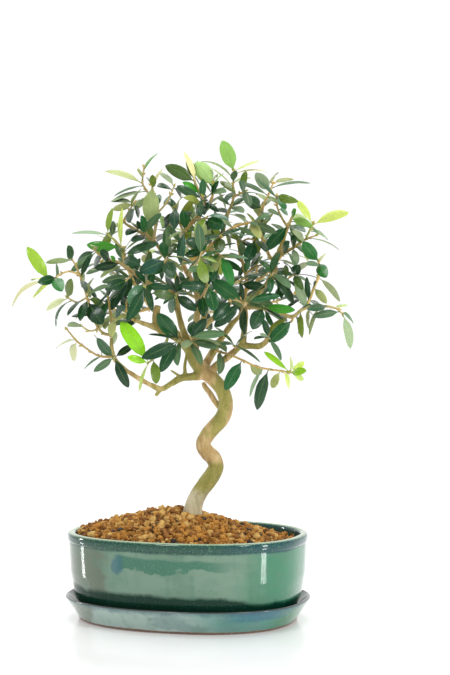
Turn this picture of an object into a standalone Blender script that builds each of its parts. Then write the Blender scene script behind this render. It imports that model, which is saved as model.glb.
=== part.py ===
"""An olive bonsai in its glazed oval pot on a drip tray. Blender 4.5, metres, +Z up, ground at z = 0.

The pot's long side runs along X and its front faces -Y. The tree is laid out in its front view,
which is turned from the pot's front: a sketch point is millimetres to the right, millimetres up
and millimetres behind the trunk, spread along the line of sight of someone standing in front.
"""

import math
import random

import bmesh
import bpy
from mathutils import Matrix, Vector
from mathutils.bvhtree import BVHTree
from mathutils.geometry import delaunay_2d_cdt

MM = 0.001
GAP = 0.3 * MM

# Pot: outer rim, height above the ground and wall
RIM_HALF_X = 0.090
RIM_HALF_Y = 0.073
RIM_TOP = 0.0652
WALL = 0.006
LIP_TALL = 0.0065
LIP_PROUD = 0.0009
POT_FLOOR = 0.006
FOOT_TALL = 0.005
FOOT_HALF = (0.009, 0.006)
FOOT_SPREAD = (0.050, 0.036)
OVAL_POWER = 2.3
OVAL_SIDES = 36
DRAIN_RADIUS = 0.006
DRAIN_SPREAD = 0.036

# Drip tray under the pot
TRAY_HALF_X = 0.0917
TRAY_HALF_Y = 0.0747
TRAY_TALL = 0.0178
TRAY_WALL = 0.0025
TRAY_FLOOR = 0.0042
TRAY_FLARE = 0.0100

# Plastic mesh over each drain hole
SCREEN_HALF = 0.010
SCREEN_THICK = 0.0009
SCREEN_HOLES = 2
SCREEN_BAR = 0.0016

# Soil mound and its granules
SOIL_EDGE = 0.0575
SOIL_PEAK = 0.0800
SOIL_ROUND = 0.8
SOIL_PEAK_AT = (-12.0, 4.0)
GRANULE = 0.0108
GRANULE_RISE = 0.0042
TRUNK_HOLE = 0.0090
TRUNK_FOOT = 0.050

# Where the front view is seen from, and how far above the ground its zero line lies, in millimetres
FRONT_TURN = math.radians(18.57)
EYE_SIDE = 0.028
EYE_HEIGHT = 0.210
EYE_DISTANCE = 1.120
SKETCH_RISE = 5.0
RIGHT = Vector((math.cos(FRONT_TURN), math.sin(FRONT_TURN), 0.0))
BACK = Vector((-math.sin(FRONT_TURN), math.cos(FRONT_TURN), 0.0))
UP = Vector((0.0, 0.0, 1.0))
EYE = RIGHT * EYE_SIDE - BACK * EYE_DISTANCE + UP * EYE_HEIGHT

# Leaves
BLADE_THICK = 0.00065
LEAF_LENGTH = 24.0
LEAF_SLIMNESS = 0.30
ROOT_SPREAD = 0.9
ROOT_OUT = 0.25
CLEARANCE = 0.35 * MM
SEED = 11

# Branches whose crowded leaves the exact solver leaves touching along an edge
CROWDED = ("back_right_low", "right_lateral", "top_left", "up_left")

# Sides of the round pieces of the tree
TRUNK_SIDES = 8
LIMB_SIDES = 5
STEM_SIDES = 4

# Trunk and the limbs that grew with it: right, up, behind, radius, in millimetres
TRUNK = [
    (3.5, 45, 0, 8.5), (3.5, 66, 0, 8.1), (3.9, 75, 0, 7.2), (5.6, 82, 0.5, 6.6), (9, 89, 1.5, 6.3),
    (14, 96, 2.5, 6.3), (19, 102.5, 3.5, 6.2), (21.3, 108.5, 3, 6.0), (19.3, 114.3, 1, 5.9),
    (14.4, 119, -1.5, 5.7), (11.6, 125, -2.5, 5.4), (14.5, 131.5, -2, 5.5), (20.5, 138.5, -1, 5.8),
    (26, 145, 0.5, 5.9), (28.5, 153, 1.5, 5.5), (27.8, 160.5, 1.5, 5.3), (24.6, 167.8, 1, 5.3),
    (18.6, 174.4, 0.5, 5.5), (12, 180, 0, 5.5), (6.5, 185.5, -1, 5.2), (2.8, 192, -2, 4.6),
    (0, 199, -3, 3.6),
]
LIMBS = {
    "low_stub": [
        (25, 151, 3, 2.3), (20.5, 157, 4.5, 2.2), (16.4, 163.5, 5.5, 2.2), (13.2, 168, 6, 2.0),
        (11.6, 171.3, 6.5, 1.4),
    ],
    "left_limb": [
        (10, 177, 0, 3.6), (2, 175.5, -3, 3.2), (-5, 174.5, -6, 2.9), (-12, 170.5, -9, 2.2),
        (-19.5, 166.5, -12, 2.1), (-27, 169, -15, 2.0), (-34, 172.8, -17, 1.9),
        (-41, 177, -19, 1.8), (-48, 182, -20, 1.7), (-54.5, 188.5, -21, 1.9), (-57, 196, -21, 1.5),
        (-57.3, 205, -21, 1.4),
    ],
    "left_stub": [(-19, 167, -12, 1.5), (-24, 161.5, -14, 1.1)],
    "left_riser": [(-2, 176, -5, 1.9), (-2.2, 183, -6, 1.3), (-1.2, 190, -6, 1.1), (0, 197, -4, 1.2)],
    "left_snag": [(-4, 175, -6, 1.3), (-9, 178, -9, 0.9), (-13, 180.5, -11, 0.7)],
    "centre_left": [
        (1.5, 194.5, -3, 3.6), (-5, 202, -6, 3.2), (-13, 207, -10, 3.0), (-21, 211.5, -13, 3.2),
        (-24, 219, -15, 2.9), (-22.5, 229, -17, 2.5),
    ],
    "left_reach": [(-20, 211, -13, 2.4), (-30, 214.5, -17, 2.1), (-40, 218, -20, 1.6)],
    "centre_a": [
        (3, 195, -2, 3.6), (5.5, 207, -4, 3.0), (7, 220, -5, 2.7), (8, 232, -4, 2.4),
        (5, 243, -3, 2.2), (0, 253, -2, 2.1), (-4, 260, -1, 1.9),
    ],
    "centre_b": [
        (1, 198, -3, 3.2), (-4, 212, 0, 2.6), (-7.5, 226, 2, 2.4), (-9, 238, 1, 2.2),
        (-8, 248, -3, 2.0), (-12, 257, -8, 1.8),
    ],
    "right_limb": [
        (16, 178, 2, 3.6), (22, 184, -3, 2.9), (29, 189.5, -8, 2.6), (36, 195.5, -12, 2.5),
        (41, 201, -14, 2.5), (42.5, 210, -13, 2.2), (43.5, 219, -10, 2.1), (43, 227.5, -6, 2.3),
        (48, 235, -2, 2.3), (55, 240.5, 1, 2.5), (61, 246.5, 3, 2.8), (64.5, 254, 4, 2.9),
        (65.2, 262, 4, 2.8), (68, 268.5, 3, 2.2),
    ],
    "right_stub": [
        (39.5, 199.5, -13.5, 2.4), (48, 198.5, -17, 2.4), (55, 199, -20, 2.4),
        (59.5, 203, -22, 2.2), (61.5, 208.5, -23, 1.9),
    ],
    "centre_right": [
        (11, 180, 1, 3.8), (16, 189, 5, 3.2), (22, 199, 7, 2.8), (28, 208, 5, 2.4),
        (34, 216, 1, 2.2), (40, 222, -4, 2.1), (43.5, 228, -6, 2.0),
    ],
    "back_centre": [
        (4, 190, -1, 3.0), (8, 205, 12, 2.7), (12, 220, 22, 2.4), (14, 236, 30, 2.2),
        (12, 253, 35, 1.9),
    ],
    "back_left": [(0, 200, -2, 2.6), (-14, 214, 16, 2.3), (-27, 227, 28, 1.9)],
    "back_right": [(9, 210, 15, 2.2), (24, 224, 28, 2.0), (38, 236, 36, 1.8)],
    "deep_back": [(12, 222, 23, 2.0), (10, 232, 42, 1.7)],
}
# Leafy branches. A stem's points are right, up, behind and radius; a leaf is where it springs,
# where its tip is seen, how wide it looks,
# then how far it leans to (-) or from (+) the eye, and its arch
BRANCHES = {
    "low_left_fork": {
        "stems": [[(-55, 190, -23.5, 1.2), (-55.5, 190, -30, 0.9)]],
        "leaves": [
            (-55, 187, -44.5, 167.5, 7.6, 0.3), (-57, 188.5, -70.5, 179.5, 5.6, -0.4),
            (-57, 191, -68, 204.5, 7), (-53, 192.5, -41.5, 199, 5.5, 0.5),
        ],
    },
    "left_bare_twig": {
        "stems": [[
            (-58.5, 190.5, -22, 1.1), (-66, 191, -24, 0.9), (-72, 194, -26, 0.8), (-79, 199, -27, 0.8),
            (-84, 203, -28, 0.8), (-90.5, 211, -30, 0.6),
        ]],
        "leaves": [
            (-64, 192, -77, 181, 1.4, 0.6), (-83, 202, -86, 188, 6, 1),
            (-86, 203, -98, 196, 1.2, 0.8),
        ],
    },
    "lime_left": {
        "young": True,
        "stems": [[(-16, 202, -15, 1.2), (-20, 196, -19, 1.0), (-26, 189, -23, 0.9), (-29.5, 186, -25, 0.7)]],
        "leaves": [
            (-30, 187, -50, 216.5, 11.5), (-30, 186.5, -45.5, 190.5, 5.6, -0.5),
            (-25, 188, -23.5, 170.5, 7.2), (-29, 186, -37, 164.5, 2.5, 0.5),
        ],
    },
    "front_left_rosette": {
        "stems": [[(-6, 203, -11, 1.3), (-7, 202.5, -20, 1.1), (-8, 202, -28, 0.8)]],
        "leaves": [
            (-9, 203, -34.5, 189.5, 9.5, -0.6), (-8, 200, -20.5, 179, 8.6, -0.4),
            (-5, 201, -6.5, 183.5, 6, -1), (-6, 207, -22.5, 223, 11, -0.7),
            (-9, 206, -19, 218, 6.5, 0.8),
        ],
    },
    "front_right_rosette": {
        "stems": [[(2, 201.5, -8.5, 1.3), (2.5, 203, -18, 1.1), (2, 205, -27, 0.8)]],
        "leaves": [
            (2, 202, 23, 197, 6, -0.5), (4, 200, 9.5, 184, 6, -1),
            (2, 207, 28, 208, 6.2, -0.4), (3, 202, 25, 199.5, 4, 0.5),
            (0, 208, 5, 218, 9, 1), (3, 209, 14, 219, 8, -0.8),
            (1, 203, -3, 198, 6, -1),
        ],
    },
    "slender_right": {
        "stems": [[
            (21.5, 195, 2, 1.1), (25, 194, -6, 1.0), (33, 191.5, -18, 0.9), (42, 187.5, -26, 0.9),
            (52, 183, -31, 0.8), (62, 181, -34, 0.8), (70, 180, -36, 0.7), (74, 179.3, -37, 0.7),
        ]],
        "leaves": [
            (42, 187, 28, 165.5, 9.2, -0.5), (24, 194, 24.5, 178.5, 5.6, -1),
            (46, 186, 56, 177, 7, 0.8), (62, 181, 51.5, 150.5, 8.6, 0),
            (57, 182, 45.5, 160.5, 3, 0.5), (70, 180, 63, 167.5, 6, 0.7),
            (71, 180, 76.5, 167, 4, 0.8), (30, 193, 20, 203, 5, 0.9),
        ],
    },
    "lime_right": {
        "young": True,
        "stems": [[(75.2, 179.1, -37.3, 0.9), (78, 178.7, -38, 0.7)]],
        "leaves": [
            (76, 179, 57.5, 194.5, 4.4, -0.2), (78, 179, 87, 186.5, 5, -0.5),
            (78, 178, 88.5, 180, 5.5, -0.8), (78, 178, 87, 173.5, 4.5, 0.5),
            (77, 180, 76, 191, 2.5, 0.9),
        ],
    },
    "stub_spray": {
        "stems": [[(60.5, 204.5, -25.5, 1.1), (61, 204.5, -31, 0.8)]],
        "leaves": [(60, 204, 70.5, 188, 4, -0.4), (61, 205, 55, 206.5, 1.4, -0.8)],
    },
    "right_limb_spur": {
        "stems": [[(36, 197.5, -15.5, 1.1), (34.5, 199, -22, 0.8)]],
        "leaves": [(34, 198.5, 54.5, 186.5, 2.2, -0.2), (34, 199, 26, 200.5, 1.6, -0.9)],
    },
    "right_lateral": {
        "stems": [
            [
                (45.6, 227.8, -8.5, 1.9), (55, 227, -12, 1.7), (67, 224.5, -15, 1.6), (78, 220.5, -18, 1.6),
                (86, 226, -19, 1.3), (95, 228.3, -20, 1.1), (104, 228.5, -21, 1.0), (113, 226.5, -22, 0.9),
            ],
            [(79, 220.5, -18, 1.2), (78.5, 218, -24, 0.9)],
            [(112, 226.7, -22, 0.9), (116, 223, -24, 0.7)],
            [(56, 227, -12, 1.2), (57, 228, -20, 0.9)],
        ],
        "leaves": [
            (77, 218, 61, 201.5, 9.6, -0.6), (76, 219, 57.5, 205.5, 6, 0.6),
            (82, 221, 82, 208, 2, 1), (86, 228, 85, 204.5, 4.6, -0.2),
            (114, 224.5, 94, 220.5, 6, -0.3), (115, 224, 124.5, 215.5, 2.6, 0.7),
            (116, 222, 123, 196.5, 6.6, 0), (113, 227, 119.5, 228.5, 2.2, 1),
            (104, 228.5, 90.5, 227, 5.8, -0.8), (99, 228, 90, 207, 3.2, 0.5),
            (93, 228, 91, 212, 3, 0.8), (57, 228, 48.5, 211, 10.5, -0.6),
            (56, 229.5, 80.5, 225.5, 6.8, -0.4), (62, 226, 74.5, 217.5, 5, 0.8),
        ],
    },
    "right_upper_stem": {
        "stems": [[
            (90.5, 231, -21, 1.3), (92.5, 236, -19, 1.2), (95, 243, -16, 1.2), (98, 250, -13, 1.3),
            (98.8, 257, -12, 1.0), (98.3, 262, -11, 0.8),
        ]],
        "leaves": [
            (98.5, 261, 86.5, 277, 9.4, -0.4), (99, 261, 104, 250, 8.6, -1),
            (98.5, 260, 90, 260.5, 3.2, -0.9), (98, 250, 115.5, 232.5, 4.8, 0.2),
            (94, 242, 104.5, 230.5, 5.8, -0.5), (95, 243, 97, 247, 2, -0.6),
            (98.5, 260, 103, 268, 3, 0.9),
        ],
    },
    "right_crown_node": {
        "stems": [
            [(43, 229.5, -9, 1.5), (43.5, 230.5, -18, 1.3), (44, 231, -28, 0.9)],
            [(43, 230, -14, 1.1), (37, 232.5, -24, 1.0), (32, 232.5, -30, 0.7)],
        ],
        "leaves": [
            (45, 229.5, 78, 222.5, 7.6, 0), (44, 231, 69.5, 236, 5.4, -0.2),
            (42, 234, 57, 237, 3.4, 0.9), (44, 227, 42, 208, 5.8, -0.5),
            (41, 231, 18, 248, 11.5, -0.3), (38, 228, 20, 213, 8.6, -0.4),
            (32, 231.5, 19.5, 218, 9.4, -0.6),
        ],
    },
    "centre_front": {
        "stems": [[(8.5, 233, -8, 1.3), (12, 238, -22, 1.1), (15, 243, -38, 0.8)]],
        "leaves": [
            (16, 245, 20, 225, 9.6, -0.3), (14, 236, 12, 220.5, 7.8, -0.5),
            (14, 243, -4.5, 244, 7.4, -0.5), (12, 240, 26, 243, 5, 1),
        ],
    },
    "centre_front_left": {
        "stems": [[(-9, 237.5, -3, 1.3), (-9, 238, -18, 1.1), (-9, 236.5, -34, 0.8)]],
        "leaves": [
            (-9, 236.5, 6.5, 225.5, 7.6, -0.6), (-8, 234, -26, 239, 7, -0.5),
            (-10, 238, -13, 224, 6, 0.9), (-8, 240, 3, 248, 5, 1),
        ],
    },
    "up_left": {
        "stems": [
            [
                (-12, 238.5, -1, 1.8), (-16, 240.5, -4, 1.8), (-24, 243.5, -8, 1.7), (-31.5, 247, -12, 1.7),
                (-39, 252.5, -15, 1.7), (-46, 257.5, -18, 1.6), (-52, 261.5, -19, 1.3),
                (-60, 263, -20, 1.2), (-66, 267.5, -21, 1.1), (-70, 271, -22, 0.8),
            ],
            [(-31, 247, -12, 1.2), (-31, 246, -22, 1.0), (-32, 243, -32, 0.7)],
            [(-40, 253, -15, 1.1), (-43, 251, -24, 0.9), (-46, 248, -32, 0.7)],
            [(-47, 258.5, -18, 1.2), (-48.5, 266, -21, 1.0), (-49.5, 272, -22, 0.9), (-54, 277, -22, 0.8),
             (-59.5, 282, -22, 0.7)],
        ],
        "leaves": [
            (-31.5, 245, -44.5, 230, 11.4, -0.6), (-31, 244, -12.5, 242.5, 6.4, -0.5),
            (-32, 241, -45.5, 217.5, 8.6, -0.2), (-42, 249, -57, 225.5, 7.4, 0),
            (-45, 249, -62, 241, 8.4, -0.7), (-44, 251, -64, 246.5, 6, 0.2),
            (-41, 252, -50, 238, 7.6, 0.9), (-50, 260, -70, 257, 6.6, -0.4),
            (-50, 272, -49, 302, 3.8, 0), (-51, 273, -76.5, 274.5, 8, 0),
            (-47.5, 267, -22, 277, 6.6, -0.3), (-47, 264, -36, 260, 8, -1),
            (-55, 262, -57.5, 266, 3, -0.5), (-59, 282, -56, 301.5, 4.4, 0.3),
            (-60, 281.5, -87, 283, 2.6, 0.2), (-59, 264, -66, 270, 6.5, -1),
            (-70, 266.5, -88, 254, 5.8, -0.3), (-70, 270, -83.5, 260, 5.8, 0.6),
            (-58, 281, -50, 285, 1.4, 0.8), (-64, 266, -70, 258, 5, 1),
        ],
    },
    "outer_left": {
        "stems": [
            [
                (-58.6, 207, -22.5, 1.2), (-63, 208, -23, 1.2), (-67, 212, -24.5, 1.1),
                (-70, 218, -25.5, 1.1), (-73, 226.5, -26, 1.0), (-75.5, 235, -26.5, 1.0),
                (-78.5, 245, -27, 0.9),
                (-81.5, 253, -27.5, 0.9), (-84, 259, -28, 0.8), (-87, 264, -28, 0.7),
            ],
            [(-81.5, 252, -27.5, 0.8), (-88, 254.5, -30, 0.7), (-94, 253.3, -33, 0.7), (-99, 250, -35, 0.7),
             (-104, 247, -36, 0.6)],
            [(-75.5, 235.5, -26.5, 0.8), (-82, 231.5, -30, 0.8), (-87, 233, -33, 0.7), (-90, 235, -34, 0.7)],
            [(-75, 233, -26.5, 0.9), (-75, 233.5, -35, 0.7)],
            [(-68, 211, -24.5, 0.8), (-74, 210, -27, 0.7), (-80, 214, -29, 0.7)],
        ],
        "leaves": [
            (-87, 263.5, -106.5, 261, 4.2, -0.4), (-87, 263.5, -89.5, 273.5, 5.8, -1),
            (-80, 256, -79, 243, 4.8, 1), (-104, 248, -120.5, 273.5, 8.8, 0),
            (-99, 250, -94.5, 239.5, 9, -1), (-99, 250, -112, 246.5, 7, -0.7),
            (-99, 251, -100, 262.5, 2.2, 1), (-104, 247, -133.5, 228, 3.2, 0.2, 0.2),
            (-97, 249.5, -117, 235, 2.8, 0.6), (-104, 248, -117, 249, 2, 1),
            (-90, 235, -87.5, 249, 6.2, -0.8), (-90, 235, -106, 225.5, 4.8, 0.5),
            (-86, 232.5, -98.5, 213, 1.8, -0.3, 0.22), (-78, 234, -90.5, 222, 2.6, -0.8),
            (-75, 232, -64, 215, 12, -0.5), (-74, 236, -63, 230, 5.4, 0.8),
            (-74, 236.5, -60, 244, 2.4, -0.9), (-71, 222, -87, 220.5, 3.4, -0.8),
            (-79.5, 213.5, -90, 213.5, 3.8, -0.9), (-66, 211, -62, 219, 4, -1),
            (-76, 238, -70, 249, 1.6, 0.8), (-78, 244, -72, 236, 5, 1),
        ],
    },
    "left_stem_top": {
        "stems": [
            [(-57.2, 206.8, -21, 1.3), (-57, 215, -20, 1.4), (-58, 223, -18, 1.2), (-59.5, 234, -16, 0.8)],
            [(-57, 216, -20, 1.0), (-55, 219, -28, 0.7)],
        ],
        "leaves": [
            (-58, 222, -62.5, 212, 4.4, -0.9), (-55, 219, -57, 206.5, 6, -0.8),
            (-57, 212, -55.5, 200.5, 5, 0.9), (-55, 220, -47, 228, 5, -1),
            (-59, 233, -50, 239, 5, -0.9), (-57, 224, -50, 216, 7, 1),
            (-59.5, 233, -66, 240, 2.4, 0.8), (-59.5, 234, -58, 246, 4.5, 0.9),
        ],
    },
    "left_reach_spray": {
        "stems": [[(-42, 219.2, -20.8, 1.2), (-46, 224, -22, 1.0), (-46, 231, -24, 0.8)]],
        "leaves": [
            (-45, 226, -36, 219, 5.5, 0.9), (-46, 230, -53, 240, 6, 0.8),
            (-46, 229, -38, 236, 6, 1), (-44, 222, -51, 219, 5.5, -1),
        ],
    },
    "upper_left": {
        "stems": [
            [
                (-13.5, 260.5, -9.5, 1.7), (-18, 267, -10, 1.6), (-25, 277, -11, 1.5), (-33, 282.5, -12, 1.4),
                (-41, 287, -14, 1.3), (-47.5, 292, -15, 1.0), (-44, 300, -16, 0.8), (-40, 306, -16, 0.7),
            ],
            [(-18, 267, -10, 1.2), (-16.5, 265, -22, 1.0), (-17, 262, -36, 0.7)],
            [(-33, 282.5, -12, 1.0), (-31, 283, -22, 0.7)],
        ],
        "leaves": [
            (-43, 303, -43.5, 291.5, 5.8, -1), (-40, 306, -56.5, 301, 5.4, -0.3),
            (-39, 307, -58, 307.5, 3.4, 0.3), (-41, 304, -37, 296, 4, 1),
            (-31, 281.5, -42, 276, 5.6, -1), (-30, 284, -34, 296, 5.4, -0.9),
            (-17, 264, -36, 254, 10.5, -0.3), (-15, 263, -27, 253, 8.4, -0.9),
            (-18, 260, -11, 249.5, 10, -0.9), (-17, 265, -7, 275, 5.6, -0.8),
            (-46, 291, -58, 286, 3, 0.8), (-38, 286, -46, 283, 4, -0.9),
            (-24, 276, -16, 284, 5.4, 0.9), (-27, 279, -34, 271, 5.6, 0.9),
            (-17, 265, -24, 270, 5, 1),
        ],
    },
    "top_left": {
        "stems": [
            [
                (-25.5, 279.2, -12, 1.3), (-24, 289, -13, 1.2), (-22, 299, -13, 1.1), (-26, 308, -12, 1.0),
                (-31, 315.5, -11, 0.9), (-34, 321, -11, 0.8), (-33.5, 327, -11, 0.7), (-33, 333, -11, 0.6),
            ],
            [(-24, 304, -13, 0.9), (-25, 312, -16, 0.8), (-27, 319, -18, 0.7)],
            [(-22, 299, -13, 0.9), (-16, 306, -12, 0.8), (-13, 312, -12, 0.7), (-10.5, 318, -12, 0.6)],
        ],
        "leaves": [
            (-36, 321.5, -62, 330.5, 4.4, 0), (-33, 329, -23, 344, 2.2, 0.4),
            (-32, 318.5, -56, 312, 1.4, 0.1), (-30, 314, -58, 307.5, 3, 0.4),
            (-34, 323, -37.5, 331, 1.2, -0.8), (-27.5, 319, -27.5, 290.5, 12.5, 0),
            (-26, 316, -30, 326, 4.4, 0.9), (-26, 318, -18.5, 332, 2.2, 0.5),
            (-29, 312, -41, 301, 5.6, 0.5), (-11, 316, -22, 319.5, 2.8, -0.9),
            (-11, 318, -21.5, 328.5, 4.2, 0.7), (-11, 317, -4, 310, 4.5, 0.9),
            (-22, 300, -19, 287.5, 3, -0.8), (-16, 306, -7, 303, 4, 0.9),
        ],
    },
    "branch_c": {
        "stems": [
            [
                (-2, 261.2, -4, 1.8), (3, 263.5, -6, 1.7), (10, 268, -8, 1.6), (17, 274, -8, 1.5),
                (24, 280, -6, 1.5), (30, 284.5, -4, 1.4), (36, 288.5, -2, 1.2), (43, 290.5, -8, 1.0),
                (50, 292, -14, 0.8),
            ],
            [(13, 270.5, -8, 1.1), (14, 272, -20, 0.9), (14, 273, -32, 0.7)],
            [(22, 278, -7, 1.1), (24, 281, -18, 0.9), (25, 281, -30, 0.7)],
            [(17, 273, -8, 1.2), (21, 269, -18, 1.0), (25, 266.5, -28, 0.8)],
            [(9, 267, -8, 1.1), (12, 263, -20, 0.9), (17, 256, -32, 0.7)],
        ],
        "leaves": [
            (14, 273, -1.5, 278, 8.4, -0.7), (13, 271.5, -1.5, 267, 6.4, -0.7),
            (19, 281, 5.5, 280, 3.6, -0.9), (24, 280.5, 24, 269.5, 9, -1),
            (23, 281.5, 11, 278, 4.4, -0.9), (24, 267, 17.5, 246.5, 6.8, -0.3),
            (26, 266.5, 33.5, 244, 7.8, -0.2, 0.16), (26, 266.5, 45, 263.5, 2.2, -0.6),
            (17, 256, 0, 255, 4.8, -0.7), (12, 264, 13, 253.5, 6.2, -1),
            (36, 288.5, 53, 280, 4.2, -0.5), (45, 291, 67, 284, 6.2, -0.4),
            (33, 287, 22, 295, 4, -0.9), (30, 285, 41, 277, 4.4, 0.9),
            (50, 292, 61, 297, 3, -0.8), (27, 282, 33, 272, 4.2, 1),
            (43, 290.5, 36, 299, 4.6, 0.8), (16, 273, 21, 283, 4.6, 1),
        ],
    },
    "top_centre": {
        "stems": [
            [
                (-4.5, 262.6, 0, 1.7), (-5, 271, 4, 1.6), (-3, 283, 5, 1.5), (2, 290, 3, 1.4),
                (8, 296.5, 0, 1.4), (14, 303, -2, 1.3), (18, 309.5, -3, 1.2), (19.3, 316, -3, 0.9),
                (19, 321, -3, 0.7),
            ],
            [(-3, 282, 5, 1.2), (-3, 284, -8, 1.0), (-2.5, 285, -22, 0.7)],
            [(-3, 284, 5, 1.1), (-8, 296, -6, 0.9), (-9, 303, -14, 0.7)],
            [(8, 297, 0, 1.1), (10, 305, -10, 0.9), (11, 311, -18, 0.7)],
            [(5, 293.5, 1.5, 1.1), (11, 294, -12, 0.9), (14, 295, -26, 0.7)],
            [(14, 303.5, -2, 1.0), (9, 314, -8, 0.8), (5.5, 322, -12, 0.7)],
        ],
        "leaves": [
            (-2.5, 285, -5, 260.5, 6.4, 0), (-9, 302, -10, 286, 7.4, -0.5),
            (-9, 300, -19.5, 287, 5.4, 0.6), (-5, 290, 3, 298.5, 3.8, -1),
            (-8, 299, -13, 309, 4.2, 0.8), (10, 309, 9, 297, 4.8, -1),
            (10, 306, -2.5, 310, 4.4, -0.7), (10.5, 310, -8.5, 319, 6.4, -0.2),
            (12, 305, 8.5, 317, 5.2, 0.8), (13, 295, 27.5, 288, 10, -0.6),
            (13, 296.5, 31, 293.5, 2.8, -0.5, 0.14), (9, 293, 19, 286, 7.4, 0.8),
            (17, 308, 12, 298, 4.6, -0.9), (18.5, 318, 6, 336.5, 12.5, 0),
            (10, 313, -4, 321.5, 5.2, -0.6), (12, 307, 23, 299, 5, -0.8),
            (18, 314, 8, 339, 5.2, 0.3), (20, 317, 26, 328.5, 1.4, 0.8),
            (19, 317, 21, 327, 4.6, 0.9), (19.5, 314, 29, 314, 4.4, -0.9),
            (5.5, 321.5, -16.5, 334, 9.4, 0), (5.5, 323, 0, 339.5, 6.4, 0.6),
            (5, 323, -3, 344, 4.4, 0.8), (4, 292, -6, 297, 4, 0.7),
        ],
    },
    "top_right": {
        "stems": [
            [
                (27, 284.5, -1, 1.2), (29, 294, 2, 1.2), (33, 305, 5, 1.1), (35, 313, 5, 1.0),
                (34, 320, 4, 0.9), (35, 326, 3, 0.8), (34.5, 330, 3, 0.7),
            ],
            [(34, 310, 5, 0.9), (39, 313, -3, 0.8), (43, 315, -10, 0.7)],
        ],
        "leaves": [
            (34.5, 329, 26, 352.5, 11, 0), (35, 329, 54, 338, 1.4, 0.1),
            (34, 322, 10, 339, 1.4, 0.1, 0.14), (35, 328, 59, 329, 1.2, 0.3, 0.1),
            (37, 313, 24.5, 323, 5.2, 0.7), (43, 315, 38.5, 322, 5.4, -0.9),
            (43, 315, 46.5, 303.5, 6.4, -0.9), (33, 304, 22, 309, 3, -0.6),
            (33, 303, 42, 298, 5, -0.9), (30, 297, 22, 301, 4.4, 0.9),
            (35, 314, 29, 307, 4, -0.9), (34, 321, 47, 324, 2, 0.8),
        ],
    },
    "far_top_right": {
        "stems": [
            [
                (61.6, 265.5, 6.5, 1.5), (57.5, 276, 9, 1.4), (53.5, 289, 11, 1.3), (56.5, 303, 9, 1.1),
                (60.5, 312, 7, 1.0), (64, 320.5, 6, 0.7),
            ],
            [(55, 298, 10, 0.9), (55, 302, -2, 0.7)],
        ],
        "leaves": [
            (61, 314, 51, 328.5, 9, -0.4), (60, 312, 38, 321.5, 3.4, -0.3),
            (64, 320, 79.5, 324, 3.2, 0.6), (63, 317, 92, 320, 1.6, 0.1, 0.1),
            (55, 302, 44, 310.5, 9.4, -0.7), (56, 301, 63, 309, 4.6, 0.9),
            (54, 292, 46, 284, 5.2, 0.9), (54, 293, 62, 300, 4.4, 0.9),
            (58, 307, 51, 314, 4, 0.8), (55, 285, 60, 294, 5, 1),
            (54, 300, 60, 292, 4, -0.9), (64, 320, 67, 329, 3, 1),
        ],
    },
    "right_high_a": {
        "stems": [
            [(69.5, 271.5, 2, 1.8), (72, 279, -1, 1.6), (75.5, 289, -4, 1.4), (79, 297, -6, 0.9)],
            [(75, 288, -4, 1.1), (70, 296, -4, 0.9), (67, 304, -4, 0.8), (67, 311, -5, 0.7)],
        ],
        "leaves": [
            (78, 294, 94, 289, 6.4, -0.6), (77.5, 291, 98.5, 282, 2.8, -0.3, 0.14),
            (76.5, 288, 85, 276.5, 4.4, -0.8), (75, 289, 58, 270.5, 9, -0.4),
            (67, 311, 83, 307, 6.4, -0.6, 0.2), (67, 311, 73.5, 301.5, 5, -0.9),
            (68, 302, 75, 298, 4.2, 0.8), (79, 296, 81, 301, 3.4, -0.8),
            (77, 289, 88, 286, 3, -0.9), (73, 283, 63, 290, 3.6, 0.8),
            (70, 296, 60, 300, 3, -0.8), (78, 293, 89, 296, 5.4, 0.8),
            (67, 305, 60, 311, 4, 0.8), (74, 285, 82, 277, 4, 0.8),
        ],
    },
    "right_high_b": {
        "stems": [[
            (70, 267.5, 0, 1.6), (74, 269.5, -4, 1.5), (81, 273.5, -8, 1.2), (88.5, 278.7, -10, 0.9),
            (96, 281.5, -12, 0.6),
        ]],
        "leaves": [
            (80, 272, 95, 263.5, 3.2, -0.6), (78, 272, 82, 260, 5, -0.6),
            (79, 273, 81.5, 281, 4.8, -1), (91, 279.5, 114.5, 271.5, 1.2, 0.1, 0.08),
            (80, 272.5, 90, 270, 3, 0.9), (74, 268.5, 79, 258, 3.4, -0.9),
            (88, 278, 79, 285, 4.6, -0.8), (72, 268, 76, 277, 5, -1),
            (84, 275, 90, 266, 5, 1),
        ],
    },
    "far_right_young": {
        "young": True,
        "stems": [[(89.5, 281, -10.5, 1.0), (92, 286, -13, 0.9), (94, 290, -15, 0.7)]],
        "leaves": [
            (94, 289, 121, 300, 7.4, 0), (93, 290, 82, 307.5, 5.5, 0.3),
            (92, 286, 103, 281, 4, 1),
        ],
    },
    "right_inner": {
        "stems": [[(64.5, 253, -0.5, 1.2), (63, 252, -12, 1.0), (62.5, 251.5, -22, 0.8)]],
        "leaves": [
            (62, 251, 80.5, 230, 6.4, 0), (64, 252, 77, 243, 5.4, -0.9),
            (61.5, 252, 55, 263, 4.6, 0.9), (62, 250, 40, 249, 2, -0.2),
        ],
    },
    "right_grey": {
        "stems": [[
            (67.8, 250, 2, 1.0), (72.5, 247.5, -6, 0.8), (77, 250.5, -14, 0.7), (81, 252.5, -20, 0.7),
        ]],
        "leaves": [
            (81, 251, 88.5, 228, 7, 0), (82, 252.5, 83.5, 259, 7.5, -1),
            (80, 252, 73, 262, 2, 0.9), (79, 251.5, 94, 245, 2.4, 0.6),
            (73, 248, 76, 240, 4, 0.9), (81, 253, 90, 262, 5.5, 0.9),
        ],
    },
    "right_back_stem": {
        "stems": [
            [
                (38.5, 219.5, 0.5, 1.6), (42, 232, 9, 1.6), (44.3, 246, 13, 1.6), (42.5, 257, 14, 1.5),
                (39.5, 267, 15, 1.3), (37.5, 278, 16, 1.1),
            ],
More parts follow.
